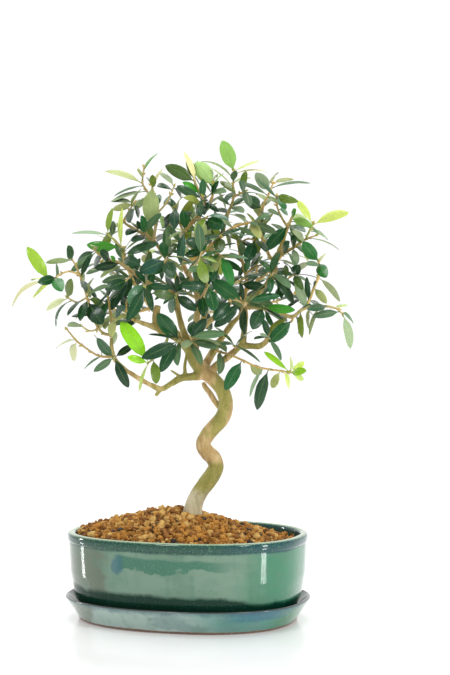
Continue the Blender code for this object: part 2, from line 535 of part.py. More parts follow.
            [(44, 247, 13, 1.1), (41, 245.5, 2, 0.9), (39.5, 245, -8, 0.7)],
            [(43.5, 253, 13.5, 1.2), (50, 257.5, 13, 1.0), (55, 259.3, 12, 0.8)],
            [(38, 275, 15.5, 1.0), (45, 279, 6, 0.8), (50.5, 278, -2, 0.7)],
        ],
        "leaves": [
            (50, 277.5, 43.5, 261.5, 9, -0.6), (37, 278, 50, 272, 3.8, -0.9),
            (53, 259.5, 61, 262, 5, 1), (40, 245, 58, 243, 6.8, -0.4),
            (40, 246, 58.5, 254.5, 2, -0.5), (50.5, 277, 59, 270, 4.4, -0.9),
            (51, 258, 55, 267, 4.6, 0.9), (41, 262, 32, 268, 4, 0.9),
            (38, 277, 29, 283, 4.2, 0.9), (43, 237, 35, 243, 4.6, 0.9),
        ],
    },
    "back_top": {
        "pairs": 2,
        "stems": [
            [
                (12, 255.4, 36, 1.7), (8, 270, 38, 1.5), (6, 284, 37, 1.3), (10, 298, 35, 1.0),
                (13, 310, 33, 0.7),
            ],
            [(8, 268, 38, 1.1), (-6, 280, 42, 0.9), (-16, 293, 44, 0.7)],
            [(7, 276, 38, 1.1), (20, 287, 42, 0.9), (30, 299, 44, 0.7)],
        ],
        "leaves": [],
    },
    "back_left_high": {
        "pairs": 2,
        "stems": [
            [(-29, 229.5, 30, 1.7), (-38, 242, 37, 1.5), (-45, 257, 42, 1.2), (-48, 272, 43, 0.8)],
            [(-40, 245, 38, 1.0), (-54, 252, 44, 0.8), (-64, 262, 46, 0.6)],
            [(-36, 239, 35, 1.0), (-30, 254, 48, 0.8), (-30, 268, 55, 0.6)],
        ],
        "leaves": [],
    },
    "back_left_low": {
        "pairs": 2,
        "stems": [[(-29.5, 226.5, 30.5, 1.4), (-42, 224, 38, 1.2), (-55, 226, 43, 0.9), (-68, 230, 45, 0.7)]],
        "leaves": [],
    },
    "back_right_high": {
        "pairs": 2,
        "stems": [
            [(40.5, 237.3, 37.5, 1.6), (52, 247, 41, 1.5), (64, 258, 43, 1.2), (74, 271, 42, 0.8)],
            [(52, 247, 41, 1.1), (52, 262, 52, 0.9), (56, 278, 58, 0.7)],
        ],
        "leaves": [],
    },
    "back_right_low": {
        "pairs": 2,
        "stems": [[(40, 234.5, 38, 1.4), (52, 232, 44, 1.2), (66, 232, 48, 0.9), (80, 238, 50, 0.7)]],
        "leaves": [],
    },
    "deep_back_left": {
        "pairs": 2,
        "stems": [[(8.5, 233.5, 44, 1.5), (-4, 240, 56, 1.3), (-18, 246, 66, 1.0), (-34, 254, 72, 0.7)]],
        "leaves": [],
    },
    "deep_back_right": {
        "pairs": 2,
        "stems": [[(11.8, 233.5, 44, 1.5), (24, 241, 57, 1.3), (40, 248, 67, 0.9), (54, 256, 71, 0.7)]],
        "leaves": [],
    },
    "deep_back_up": {
        "pairs": 2,
        "stems": [[(10.5, 235, 44, 1.5), (10, 250, 58, 1.3), (8, 266, 66, 0.9), (6, 282, 68, 0.7)]],
        "leaves": [],
    },
    "deep_back_low": {
        "pairs": 2,
        "stems": [[(10.5, 229.5, 44, 1.4), (12, 226, 58, 1.2), (18, 224, 72, 0.9), (26, 228, 82, 0.7)]],
        "leaves": [],
    },
    "front_high": {
        "pairs": 2,
        "stems": [[(1.5, 253, -4.8, 1.3), (4, 258, -22, 1.1), (8, 262, -42, 0.9), (10, 268, -58, 0.7)]],
        "leaves": [],
    },
}


def clear_scene():
    """Remove what the file opened with."""
    for thing in list(bpy.data.objects):
        bpy.data.objects.remove(thing)


def material(name, colour, roughness, metallic=0.0):
    """A plain material in one colour."""
    made = bpy.data.materials.new(name)
    made.use_nodes = True
    shader = made.node_tree.nodes["Principled BSDF"]
    shader.inputs["Base Color"].default_value = (*colour, 1.0)
    shader.inputs["Roughness"].default_value = roughness
    shader.inputs["Metallic"].default_value = metallic
    return made


def mesh_object(name, points, faces, surface):
    """A new object from points in metres and faces that list them."""
    mesh = bpy.data.meshes.new(name)
    mesh.from_pydata([tuple(p) for p in points], [], faces)
    mesh.materials.append(surface)
    made = bpy.data.objects.new(name, mesh)
    bpy.context.scene.collection.objects.link(made)
    return made


def face_outward(mesh):
    """Turn every face of a closed mesh outward."""
    shape = bmesh.new()
    shape.from_mesh(mesh)
    bmesh.ops.recalc_face_normals(shape, faces=shape.faces)
    shape.to_mesh(mesh)
    shape.free()


def keep_largest(mesh):
    """Leave only the biggest connected shell: loose scraps and sealed hollows go."""
    shape = bmesh.new()
    shape.from_mesh(mesh)
    left = set(shape.faces)
    shells = []
    while left:
        seed = left.pop()
        shell = [seed]
        for face in shell:
            for edge in face.edges:
                for other in edge.link_faces:
                    if other in left:
                        left.remove(other)
                        shell.append(other)
        shells.append(shell)
    shells.sort(key=len)
    for shell in shells[:-1]:
        bmesh.ops.delete(shape, geom=shell, context="FACES")
    bmesh.ops.triangulate(shape, faces=shape.faces)
    shape.to_mesh(mesh)
    shape.free()


def boolean(target, tools, operation, solver="EXACT"):
    """Join the tools to the target, or cut them from it, in one modifier that is applied."""
    group = bpy.data.collections.new(target.name + "_tools")
    for tool in tools:
        bpy.context.scene.collection.objects.unlink(tool)
        group.objects.link(tool)
    bpy.context.scene.collection.children.link(group)
    joined = target.modifiers.new("join", "BOOLEAN")
    joined.operation = operation
    joined.operand_type = "COLLECTION"
    joined.collection = group
    joined.solver = solver
    graph = bpy.context.evaluated_depsgraph_get()
    mesh = bpy.data.meshes.new_from_object(target.evaluated_get(graph))
    target.modifiers.clear()
    surface = target.data.materials[0]
    target.data = mesh
    mesh.materials.clear()
    mesh.materials.append(surface)
    for face in mesh.polygons:
        face.material_index = 0
    for tool in tools:
        bpy.data.objects.remove(tool)
    bpy.data.collections.remove(group)
    keep_largest(mesh)


def shade_round(thing, angle=math.radians(40)):
    """Smooth shading with the sharp corners kept."""
    thing.data.shade_smooth()
    thing.data.set_sharp_from_angle(angle=angle)


def oval(half_x, half_y, inset, height):
    """One ring of the pot's oval, drawn in by an inset."""
    ring = []
    power = 2.0 / OVAL_POWER
    for side in range(OVAL_SIDES):
        angle = math.tau * side / OVAL_SIDES
        c, s = math.cos(angle), math.sin(angle)
        x = math.copysign(abs(c) ** power, c) * (half_x - inset)
        y = math.copysign(abs(s) ** power, s) * (half_y - inset)
        ring.append(Vector((x, y, height)))
    return ring


def loft(name, rings, surface):
    """A closed body through rings of equal count, with a flat cap at each end."""
    count = len(rings[0])
    points = [p for ring in rings for p in ring]
    faces = []
    for level in range(len(rings) - 1):
        for side in range(count):
            a = level * count + side
            b = level * count + (side + 1) % count
            faces.append((a, b, b + count, a + count))
    faces.append(tuple(range(count)))
    faces.append(tuple(range((len(rings) - 1) * count, len(rings) * count)))
    made = mesh_object(name, points, faces, surface)
    face_outward(made.data)
    return made


def cylinder(name, centre, radius, low, high, sides, surface):
    """An upright cylinder between two heights."""
    rings = []
    for height in (low, high):
        turn = [math.tau * k / sides for k in range(sides)]
        rings.append([
            Vector((centre[0] + radius * math.cos(a), centre[1] + radius * math.sin(a), height)) for a in turn
        ])
    return loft(name, rings, surface)


def box(name, centre, half, surface):
    """An upright box."""
    corners = [(-1, -1), (1, -1), (1, 1), (-1, 1)]
    rings = []
    for end in (-1, 1):
        z = centre[2] + end * half[2]
        rings.append([Vector((centre[0] + i * half[0], centre[1] + j * half[1], z)) for i, j in corners])
    return loft(name, rings, surface)


def pot_bottom():
    """The height of the pot's underside: it stands on its feet on the tray's floor."""
    return TRAY_FLOOR + GAP + FOOT_TALL


def pot_inside(clear=0.0):
    """Inset and height of each ring of the pot's inner wall, floor first."""
    floor = pot_bottom() + POT_FLOOR
    return [
        (0.0150 + clear, floor + clear),
        (0.0100 + clear, floor + 0.0070),
        (WALL + clear, SOIL_EDGE - 0.0030),
    ]


def build_pot(glaze):
    """The oval pot with its rolled lip, four feet and two drain holes."""
    bottom = pot_bottom()
    lip = RIM_TOP - LIP_TALL
    outside = [
        (0.0120, bottom), (0.0080, bottom + 0.0030), (0.0046, bottom + 0.0110),
        (LIP_PROUD + 0.0010, bottom + 0.0260), (LIP_PROUD, lip - 0.0006),
        (0.0002, lip + 0.0010), (0.0, RIM_TOP - 0.0022), (0.0020, RIM_TOP),
    ]
    top = [(WALL - 0.0016, RIM_TOP), (WALL, RIM_TOP - 0.0020)]
    profile = outside + top + pot_inside()[::-1]
    rings = [oval(RIM_HALF_X, RIM_HALF_Y, inset, height) for inset, height in profile]
    pot = loft("pot", rings, glaze)
    feet = []
    for i in (-1, 1):
        for j in (-1, 1):
            at = (i * FOOT_SPREAD[0], j * FOOT_SPREAD[1], bottom - FOOT_TALL / 2 + 0.0010)
            half = (*FOOT_HALF, FOOT_TALL / 2 + 0.0010)
            feet.append(box("foot", at, half, glaze))
    boolean(pot, feet, "UNION")
    drains = []
    for i in (-1, 1):
        at = (i * DRAIN_SPREAD, 0.0)
        drains.append(cylinder("drain", at, DRAIN_RADIUS, 0.0, 0.030, 12, glaze))
    boolean(pot, drains, "DIFFERENCE")
    shade_round(pot)


def build_tray(glaze):
    """The shallow oval tray that catches the water."""
    profile = [
        (TRAY_FLARE + 0.0016, 0.0), (TRAY_FLARE - 0.0008, 0.0030), (TRAY_FLARE * 0.42, 0.0105),
        (0.0, TRAY_TALL - 0.0010), (0.0008, TRAY_TALL), (TRAY_WALL - 0.0006, TRAY_TALL),
        (TRAY_WALL + TRAY_FLARE * 0.42, 0.0112), (TRAY_WALL + TRAY_FLARE + 0.0010, TRAY_FLOOR),
    ]
    rings = [oval(TRAY_HALF_X, TRAY_HALF_Y, inset, height) for inset, height in profile]
    tray = loft("drip_tray", rings, glaze)
    shade_round(tray)


def screen_low():
    """The height of a drain screen's underside, just above the pot's inner floor."""
    return pot_bottom() + POT_FLOOR + GAP


def build_screens(plastic):
    """A square of mesh over each drain hole, which holds the soil back."""
    pitch = 2 * SCREEN_HALF / SCREEN_HOLES
    for side, word in ((-1, "left"), (1, "right")):
        centre = (side * DRAIN_SPREAD, 0.0, screen_low() + SCREEN_THICK / 2)
        plate = box("drain_screen_" + word, centre, (SCREEN_HALF, SCREEN_HALF, SCREEN_THICK / 2), plastic)
        holes = []
        for i in range(SCREEN_HOLES):
            for j in range(SCREEN_HOLES):
                x = centre[0] + (i - (SCREEN_HOLES - 1) / 2) * pitch
                y = (j - (SCREEN_HOLES - 1) / 2) * pitch
                half = (pitch - SCREEN_BAR) / 2
                holes.append(box("hole", (x, y, centre[2]), (half, half, SCREEN_THICK), plastic))
        boolean(plate, holes, "DIFFERENCE")


def soil_height(x, y):
    """The soil's height: a mound that falls to the pot's rim."""
    peak = RIGHT * SOIL_PEAK_AT[0] * MM + BACK * SOIL_PEAK_AT[1] * MM
    far = math.hypot((x - peak.x) / (RIM_HALF_X - WALL), (y - peak.y) / (RIM_HALF_Y - WALL))
    return SOIL_EDGE + (SOIL_PEAK - SOIL_EDGE) * max(0.0, 1.0 - far) ** SOIL_ROUND


def build_soil(earth):
    """Soil that fills the pot, with a close-set relief of granules and a plain hole for the trunk."""
    inside = pot_inside(GAP)
    edge = oval(RIM_HALF_X, RIM_HALF_Y, inside[-1][0], 0.0)
    step = GRANULE / math.sqrt(3.0)
    shrink = 1.0 - 0.6 * step / RIM_HALF_Y
    points = [Vector((p.x, p.y)) for p in edge]
    peaks = [False] * len(points)
    rows = int(RIM_HALF_Y / (step * math.sqrt(3) / 2)) + 1
    columns = int(RIM_HALF_X / step) + 2
    for row in range(-rows, rows + 1):
        for column in range(-columns, columns + 1):
            x = (column + 0.5 * (row % 2)) * step
            y = row * step * math.sqrt(3) / 2
            reach = (abs(x) / (RIM_HALF_X - inside[-1][0])) ** OVAL_POWER
            reach += (abs(y) / (RIM_HALF_Y - inside[-1][0])) ** OVAL_POWER
            if reach ** (1 / OVAL_POWER) < shrink:
                points.append(Vector((x, y)))
                across = column - (row - row % 2) // 2
                peaks.append((across - row) % 3 == 0)
    ring = [(k, (k + 1) % OVAL_SIDES) for k in range(OVAL_SIDES)]
    flat, _, faces, old, _, _ = delaunay_2d_cdt(points, ring, [], 1, 1e-7)
    draw = random.Random(SEED)
    surface = []
    for point, came in zip(flat, old):
        height = soil_height(point.x, point.y)
        inner = bool(came) and came[0] >= OVAL_SIDES
        if inner:
            height += GRANULE_RISE * ((0.5 if peaks[came[0]] else -0.5) + draw.uniform(-0.14, 0.14))
        surface.append(Vector((point.x, point.y, height)))
    border = [next(i for i, came in enumerate(old) if k in came) for k in range(OVAL_SIDES)]
    faces = [tuple(face) for face in faces]
    above = border
    for inset, height in inside[::-1]:
        below = []
        for point in oval(RIM_HALF_X, RIM_HALF_Y, inset, height):
            below.append(len(surface))
            surface.append(point)
        for k in range(OVAL_SIDES):
            n = (k + 1) % OVAL_SIDES
            faces.append((above[k], above[n], below[n], below[k]))
        above = below
    faces.append(tuple(above))
    soil = mesh_object("soil", surface, faces, earth)
    face_outward(soil.data)
    centre = RIGHT * TRUNK[0][0] * MM
    cutters = [cylinder("trunk_hole", centre, TRUNK_HOLE, TRUNK_FOOT - GAP, 0.100, 14, earth)]
    for side in (-1, 1):
        low, high = 0.010, screen_low() + SCREEN_THICK + GAP
        at = (side * DRAIN_SPREAD, 0.0, (low + high) / 2)
        half = (SCREEN_HALF + GAP, SCREEN_HALF + GAP, (high - low) / 2)
        cutters.append(box("screen_room", at, half, earth))
    boolean(soil, cutters, "DIFFERENCE")


def seen(right, up, behind):
    """The place of a point of the front view."""
    spread = (EYE_DISTANCE + behind * MM) / EYE_DISTANCE
    side = EYE_SIDE + (right * MM - EYE_SIDE) * spread
    height = EYE_HEIGHT + ((up + SKETCH_RISE) * MM - EYE_HEIGHT) * spread
    return RIGHT * side + BACK * behind * MM + UP * height


def tube(path, sides):
    """Points and faces of a closed round stem along a path of right, up, behind and radius."""
    places = [seen(*point[:3]) for point in path]
    points = []
    across = None
    for index, (place, point) in enumerate(zip(places, path)):
        ahead = places[min(index + 1, len(places) - 1)] - places[max(index - 1, 0)]
        ahead.normalize()
        if across is None:
            across = ahead.orthogonal()
        across = (across - ahead * across.dot(ahead)).normalized()
        over = ahead.cross(across)
        for side in range(sides):
            angle = math.tau * side / sides
            points.append(place + (across * math.cos(angle) + over * math.sin(angle)) * point[3] * MM)
    faces = []
    for level in range(len(path) - 1):
        for side in range(sides):
            a = level * sides + side
            b = level * sides + (side + 1) % sides
            faces.append((a, b, b + sides, a + sides))
    faces.append(tuple(range(sides))[::-1])
    faces.append(tuple(range((len(path) - 1) * sides, len(path) * sides)))
    return points, faces


class Leaf:
    """One blade: where it springs, its tip, the way its upper face looks, its width and its arch."""

    def __init__(self, root, tip, normal, width, arch, young):
        self.root, self.tip, self.width, self.arch, self.young = root, tip, width, arch, young
        self.along = (tip - root).normalized()
        self.normal = (normal - self.along * normal.dot(self.along)).normalized()
        self.across = self.along.cross(self.normal)
        self.length = (tip - root).length

    def rib(self, share):
        """The middle of the blade at a share of its length."""
        bow = 4.0 * share * (1.0 - share) * self.arch * self.length
        return self.root.lerp(self.tip, share) + self.normal * bow

    def up(self, share):
        """The way the upper face looks at a share of the length."""
        ahead = self.rib(min(1.0, share + 0.02)) - self.rib(max(0.0, share - 0.02))
        return self.across.cross(ahead.normalized()) * -1.0

    def blade(self, grown=0.0, start=0.0):
        """Points and faces of the blade; grown thickens it all round, for a test of room."""
        stations = ((0.36, 0.70), (0.74, 1.0)) if self.young else ((0.30, 0.84), (0.68, 0.94))
        thick = BLADE_THICK / 2 + grown
        points = []
        for share, wide in stations:
            middle, up = self.rib(share), self.up(share)
            half = self.width / 2 * wide + grown
            for side, face in ((-1, 1), (1, 1), (1, -1), (-1, -1)):
                points.append(middle + self.across * side * half + up * face * thick)
        for end, share in ((self.rib(start), start), (self.tip + self.along * grown, 1.0)):
            points += [end + self.up(share) * thick, end - self.up(share) * thick]
        faces = [(1, 0, 8), (3, 2, 9), (2, 1, 8, 9), (0, 3, 9, 8)]
        for k in range(4):
            n = (k + 1) % 4
            faces.append((k, n, 4 + n, 4 + k))
        faces += [(4, 5, 10), (6, 7, 11), (5, 6, 11, 10), (7, 4, 10, 11)]
        return points, faces


def facing(root, tip, looks, width):
    """The upper face's direction for a blade that looks this wide: the narrower, the more it faces up."""
    along = (tip - root).normalized()
    toward = EYE - root
    toward = (toward - along * toward.dot(along)).normalized()
    side = along.cross(toward)
    if side.z < 0:
        side = -side
    turn = math.acos(min(1.0, looks / width))
    return toward * math.cos(turn) + side * math.sin(turn)


def nearest_on(stems, right, up, along):
    """The place on the stems that the front view shows closest to a point, moved a little along the stem."""
    best = None
    for stem in stems:
        for a, b in zip(stem, stem[1:]):
            run = Vector((b[0] - a[0], b[1] - a[1]))
            size = run.length_squared
            share = 0.0 if size == 0 else (Vector((right - a[0], up - a[1])).dot(run)) / size
            share = min(0.96, max(0.04, share))
            point = [a[k] + (b[k] - a[k]) * share for k in range(3)]
            miss = math.hypot(point[0] - right, point[1] - up)
            if best is None or miss < best[0] - 0.5:
                best = (miss, Vector(point), run.length, Vector(b[:3]) - Vector(a[:3]))
    return best[1] + best[3] * (along / max(best[2], 2.0))


def drawn_leaf(stems, entry, young, draw):
    """A leaf from its entry in the front view, its root set apart from its neighbours' roots."""
    root_right, root_up, tip_right, tip_up, looks = entry[:5]
    lean = entry[5] if len(entry) > 5 else -0.6
    arch = entry[6] if len(entry) > 6 else 0.07
    at = nearest_on(stems, root_right, root_up, draw.uniform(-ROOT_SPREAD, ROOT_SPREAD))
    shown = math.hypot(tip_right - at[0], tip_up - at[1])
    deep = math.sqrt(max(0.0, LEAF_LENGTH ** 2 - shown ** 2)) + 0.25 * shown
    tip = seen(tip_right, tip_up, at[2] + lean * deep)
    root = seen(*at)
    root += (tip - root).normalized() * ROOT_OUT * MM
    width = max(looks * MM, LEAF_SLIMNESS * (tip - root).length)
    return Leaf(root, tip, facing(root, tip, looks * MM, width), width, arch, young)


def paired_leaves(stem, pairs, draw):
    """Leaves in opposite pairs along the outer part of a stem, each pair turned across the last."""
    places = [seen(*point[:3]) for point in stem]
    total = sum((b - a).length for a, b in zip(places, places[1:]))
    leaves = []
    for pair in range(pairs):
        reach = total * (0.42 + 0.54 * (pair + draw.uniform(-0.2, 0.2)) / max(1, pairs - 1))
        reach = min(reach, total * 0.97)
        for a, b in zip(places, places[1:]):
            if reach <= (b - a).length:
                break
            reach -= (b - a).length
        ahead = (b - a).normalized()
        root = a + ahead * min(reach, (b - a).length * 0.97)
        flat = ahead.cross(UP)
        flat = flat.normalized() if flat.length > 0.1 else RIGHT.copy()
        turn = Matrix.Rotation(math.radians(90 * (pair % 2) + draw.uniform(-20, 20)), 3, ahead)
        for side in (-1, 1):
            out = turn @ flat * side
            spread = math.radians(draw.uniform(40, 65))
            way = ahead * math.cos(spread) + out * math.sin(spread) - UP * 0.12
            length = draw.uniform(20, 28) * MM
            normal = UP + ahead * -0.3 + out * -0.4
            if abs(way.normalized().dot(normal.normalized())) > 0.9:
                normal = ahead * -1.0 + UP * 0.3
            width = length * draw.uniform(0.26, 0.34)
            leaves.append(Leaf(root, root + way.normalized() * length, normal, width, 0.08, False))
    return leaves


class Room:
    """What stands already, to keep later stems and leaves clear of it."""

    def __init__(self):
        self.taken = []

    def add(self, owner, is_stem, shape):
        """Take the room of one closed shape."""
        points, faces = shape
        low = [min(p[k] for p in points) for k in range(3)]
        high = [max(p[k] for p in points) for k in range(3)]
        self.taken.append((owner, is_stem, low, high, BVHTree.FromPolygons(points, faces)))

    def meets(self, owner, shape):
        """How a shape meets what stands: 0 clear, 1 only leaves of its own branch, 2 another node."""
        points, faces = shape
        low = [min(p[k] for p in points) for k in range(3)]
        high = [max(p[k] for p in points) for k in range(3)]
        tree = BVHTree.FromPolygons(points, faces)
        found = 0
        for other, is_stem, other_low, other_high, other_tree in self.taken:
            if any(low[k] > other_high[k] or high[k] < other_low[k] for k in range(3)):
                continue
            if other == owner and (is_stem or found):
                continue
            if tree.overlap(other_tree):
                if other != owner:
                    return 2
                found = 1
        return found


def closest(stems, point):
    """The place nearest to a point on the middle lines of some stems."""
    best = None
    for stem in stems:
        for a, b in zip(stem, stem[1:]):
            start, run = Vector(a[:3]), Vector(b[:3]) - Vector(a[:3])
            share = (Vector(point[:3]) - start).dot(run) / run.length_squared
            place = start + run * min(1.0, max(0.0, share))
            miss = (place - Vector(point[:3])).length
            if best is None or miss < best[0]:
                best = (miss, place)
    return best[1]


def joined_to(stems, stem):
    """The stem led back to the middle of the nearest of some stems."""
    place = closest(stems, stem[0])
    if (place - Vector(stem[0][:3])).length < 0.2:
        return list(stem)
    return [(*place, stem[0][3])] + list(stem)


def trimmed(stem, cut):
    """The stem with a length cut off its start."""
    stem = list(stem)
    while len(stem) > 2:
        run = Vector(stem[1][:3]) - Vector(stem[0][:3])
        if run.length > cut + 0.3:
            break
        cut = max(0.0, cut - run.length)
        stem.pop(0)
    share = cut / (Vector(stem[1][:3]) - Vector(stem[0][:3])).length
    first = tuple(a + (b - a) * share for a, b in zip(stem[0], stem[1]))
    return [first] + stem[1:]


def budded(room, stems, stem):
    """A stem that starts just clear of the one that bears it."""
    path = joined_to(stems, stem)
    start = path[:3]
    for step in range(60):
        tried = trimmed(start, step * 0.2)
        thick = [(*point[:3], point[3] + CLEARANCE / MM) for point in tried]
        if not room.meets("bud", tube(thick, STEM_SIDES)):
            return tried + path[3:]
    return trimmed(path, 2.0)


def moved(leaf, deeper, higher, shorter):
    """The leaf with its tip moved along the line of sight, up, and in."""
    away = (leaf.tip - EYE).normalized()
    tip = leaf.tip + away * deeper * MM + UP * higher * MM
    tip = leaf.root + (tip - leaf.root) * shorter
    return Leaf(leaf.root, tip, leaf.normal, leaf.width * (0.5 + 0.5 * shorter), leaf.arch, leaf.young)


TRIES = [(0, 0, 1.0)]
TRIES += [(deeper, 0, 1.0) for deeper in (-4, 4, -8, 8, -12, 12, -16, 16, -20, 20)]
TRIES += [(deeper, higher, 1.0) for deeper in (0, -8, 8, -16, 16) for higher in (-3, 3)]
TRIES += [(deeper, higher, 0.8) for deeper in (0, -10, 10) for higher in (0, -5, 5)]
TRIES += [(deeper, higher, 0.6) for deeper in (0, -8, 8) for higher in (0, -8, 8)]


def settled(room, owner, leaf):
    """The first try at a leaf that clears every other node, and its own branch's leaves if it can."""
    second = None
    for deeper, higher, shorter in TRIES:
        tried = moved(leaf, deeper, higher, shorter)
        met = room.meets(owner, tried.blade(grown=CLEARANCE, start=0.16))
        if met == 0:
            return tried
        if met == 1 and second is None:
            second = tried
    return second


def grow():
    """The limbs, and the stems and leaves of every branch, each clear of the other nodes."""
    room = Room()
    limbs = [TRUNK]
    for path in LIMBS.values():
        limbs.append(joined_to(limbs, path))
    for path in limbs:
        room.add("trunk", True, tube(path, TRUNK_SIDES if path is TRUNK else LIMB_SIDES))
    stems = {}
    standing = list(limbs)
    for name, branch in BRANCHES.items():
        own = [budded(room, standing, branch["stems"][0])]
        for stem in branch["stems"][1:]:
            own.append(joined_to(own, stem))
        for stem in own:
            room.add(name, True, tube(stem, STEM_SIDES))
        stems[name] = own
        standing += own
    draw = random.Random(SEED)
    leaves = {}
    for name, branch in BRANCHES.items():
        young = branch.get("young", False)
        wanted = [drawn_leaf(branch["stems"], entry, young, draw) for entry in branch["leaves"]]
        for stem in branch["stems"]:
            wanted += paired_leaves(stem, branch.get("pairs", 0), draw)
        leaves[name] = []
        for leaf in wanted:
            leaf = settled(room, name, leaf)
            if leaf is not None:
                room.add(name, False, leaf.blade(start=0.10))
                leaves[name].append(leaf)
    return limbs, stems, leaves


def build_trunk(limbs, bark):
    """Trunk and main limbs, which grew as one piece."""
    trunk = mesh_object("trunk", *tube(limbs[0], TRUNK_SIDES), bark)
    others = [mesh_object("limb", *tube(path, LIMB_SIDES), bark) for path in limbs[1:]]
    for piece in [trunk] + others:
        face_outward(piece.data)
    boolean(trunk, others, "UNION")
    shade_round(trunk, math.radians(60))


def build_branch(name, stems, leaves, green):
    """A leafy branch: its stems and leaves fused in one body."""
    branch = mesh_object(name, *tube(stems[0], STEM_SIDES), green)
    others = [mesh_object("stem", *tube(stem, STEM_SIDES), green) for stem in stems[1:]]
    others += [mesh_object("leaf", *leaf.blade(), green) for leaf in leaves]
    for piece in [branch] + others:
        face_outward(piece.data)
    boolean(branch, others, "UNION", "MANIFOLD" if name in CROWDED else "EXACT")
    shade_round(branch, math.radians(35))


def main():
    """Build every piece in its place."""
    clear_scene()
    build_tray(material("tray_glaze", (0.22, 0.34, 0.32), 0.25))
    build_pot(material("pot_glaze", (0.06, 0.22, 0.12), 0.2))
    build_screens(material("screen_plastic", (0.03, 0.03, 0.03), 0.6))
    build_soil(material("soil_granules", (0.50, 0.20, 0.05), 0.95))
    limbs, stems, leaves = grow()
    build_trunk(limbs, material("bark", (0.36, 0.27, 0.12), 0.8))
    mature = material("leaf_green", (0.05, 0.13, 0.06), 0.4)
    fresh = material("leaf_young", (0.35, 0.60, 0.03), 0.4)
    for name, branch in BRANCHES.items():
        green = fresh if branch.get("young") else mature
        build_branch(name, stems[name], leaves[name], green)


main()
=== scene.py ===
"""The looks of an olive bonsai in a glazed oval pot on a drip tray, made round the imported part.

The tree's sketch is that of the part's source: millimetres to the right, up and behind the
trunk, spread along the line of sight of someone standing in front. Leaves settle by the same
rule and the same draws, so each finer leaf lies where its solid blade does.
"""

import math
import random

import bmesh
import bpy
from mathutils import Matrix, Vector, noise
from mathutils.bvhtree import BVHTree


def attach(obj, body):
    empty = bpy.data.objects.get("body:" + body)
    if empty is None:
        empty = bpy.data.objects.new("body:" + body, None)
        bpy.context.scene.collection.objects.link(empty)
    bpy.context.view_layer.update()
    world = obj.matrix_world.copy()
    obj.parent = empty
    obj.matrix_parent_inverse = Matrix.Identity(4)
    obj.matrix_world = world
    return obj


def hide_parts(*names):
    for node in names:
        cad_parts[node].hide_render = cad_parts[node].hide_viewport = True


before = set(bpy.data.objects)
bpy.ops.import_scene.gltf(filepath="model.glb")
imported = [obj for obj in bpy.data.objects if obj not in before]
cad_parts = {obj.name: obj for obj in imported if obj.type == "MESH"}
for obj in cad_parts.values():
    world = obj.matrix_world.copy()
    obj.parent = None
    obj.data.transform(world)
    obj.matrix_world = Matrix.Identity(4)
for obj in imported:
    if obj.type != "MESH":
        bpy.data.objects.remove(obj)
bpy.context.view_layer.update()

MM = 0.001
GAP = 0.3 * MM

# Pot: outer rim, height above the ground and wall, in metres
RIM_HALF_X = 0.090
RIM_HALF_Y = 0.073
RIM_TOP = 0.0652
WALL = 0.006
LIP_TALL = 0.0065
LIP_PROUD = 0.0009
POT_FLOOR = 0.006
FOOT_TALL = 0.005
FOOT_HALF = (0.009, 0.006)
FOOT_SPREAD = (0.050, 0.036)
FOOT_RINGS = ((0.0, 0.94), (0.0006, 1.0), (FOOT_TALL + 0.0015, 1.08))
OVAL_POWER = 2.3
DRAIN_RADIUS = 0.006
DRAIN_SPREAD = 0.036
DRAIN_CUT = (0.0, 0.030)
POT_SIDES = 168
ROUND_SIDES = 32
POT_EDGE = 0.0012
POT_UNEVEN = 0.00035
UNEVEN_SCALE = (30, 30, 18)

# Drip tray under the pot
TRAY_HALF_X = 0.0917
TRAY_HALF_Y = 0.0747
TRAY_TALL = 0.0178
TRAY_WALL = 0.0025
TRAY_FLOOR = 0.0042
TRAY_FLARE = 0.0100
TRAY_EDGE = 0.0011
TRAY_UNEVEN = 0.0003

# Where the glazes change: heights above the ground and places to the right, in metres
POT_POOL = 0.0275
POT_POOL_EDGE = (-0.0022, 0.0018)
POT_BAND_FOOT = (0.0440, 0.0452)
POT_BAND_HEAD = (0.0515, 0.0540)
POT_SPOT = (-0.0495, 0.0470)
POT_SPOT_EDGE = (0.0060, 0.0100)
POT_UNDER_LIP = (0.0565, 0.0585)
# The pale rim edge is partly a painted highlight
POT_PALE_EDGE_AND_HIGHLIGHT = (0.0640, 0.0650)
TRAY_UNDER_RIM = (0.0130, 0.0168)
TRAY_RIM = (0.0166, 0.0174)
TRAY_BARE = (0.0018, 0.0024)

# Heights at which the bark changes, in metres
BARK_FOOT = (0.092, 0.101)
BARK_BEND = ((0.114, 0.119), (0.131, 0.140))
BARK_HIGH = (0.200, 0.215)

# Soil mound
SOIL_EDGE = 0.0575
SOIL_PEAK = 0.0800
SOIL_ROUND = 0.8
SOIL_PEAK_AT = (-12.0, 4.0)
BED_SIDES = 72
BED_RINGS = 12
BED_DEEP = 0.0016
BED_LUMPS = 0.0008
BED_SCALE = 300

# Where the front view is seen from, and how far above the ground its zero line lies
FRONT_TURN = math.radians(18.57)
EYE_SIDE = 0.028
EYE_HEIGHT = 0.210
EYE_DISTANCE = 1.120
SKETCH_RISE = 5.0
RIGHT = Vector((math.cos(FRONT_TURN), math.sin(FRONT_TURN), 0.0))
BACK = Vector((-math.sin(FRONT_TURN), math.cos(FRONT_TURN), 0.0))
UP = Vector((0.0, 0.0, 1.0))
EYE = RIGHT * EYE_SIDE - BACK * EYE_DISTANCE + UP * EYE_HEIGHT

# Leaves: thickness and clearance in metres, other lengths in millimetres, the rest as shares
BLADE_THICK = 0.00065
LEAF_LENGTH = 24.0
LEAF_SLIMNESS = 0.30
LEAF_PAIRS = 2
LEAF_LEAN = -0.6
LEAF_ARCH = 0.07
LEAF_BACK = 0.25
ROOT_SPREAD = 0.9
ROOT_OUT = 0.25
ROOT_REACH = (0.04, 0.96)
ROOT_NEARER = 0.5
CLEARANCE = 0.35 * MM
SEED = 11

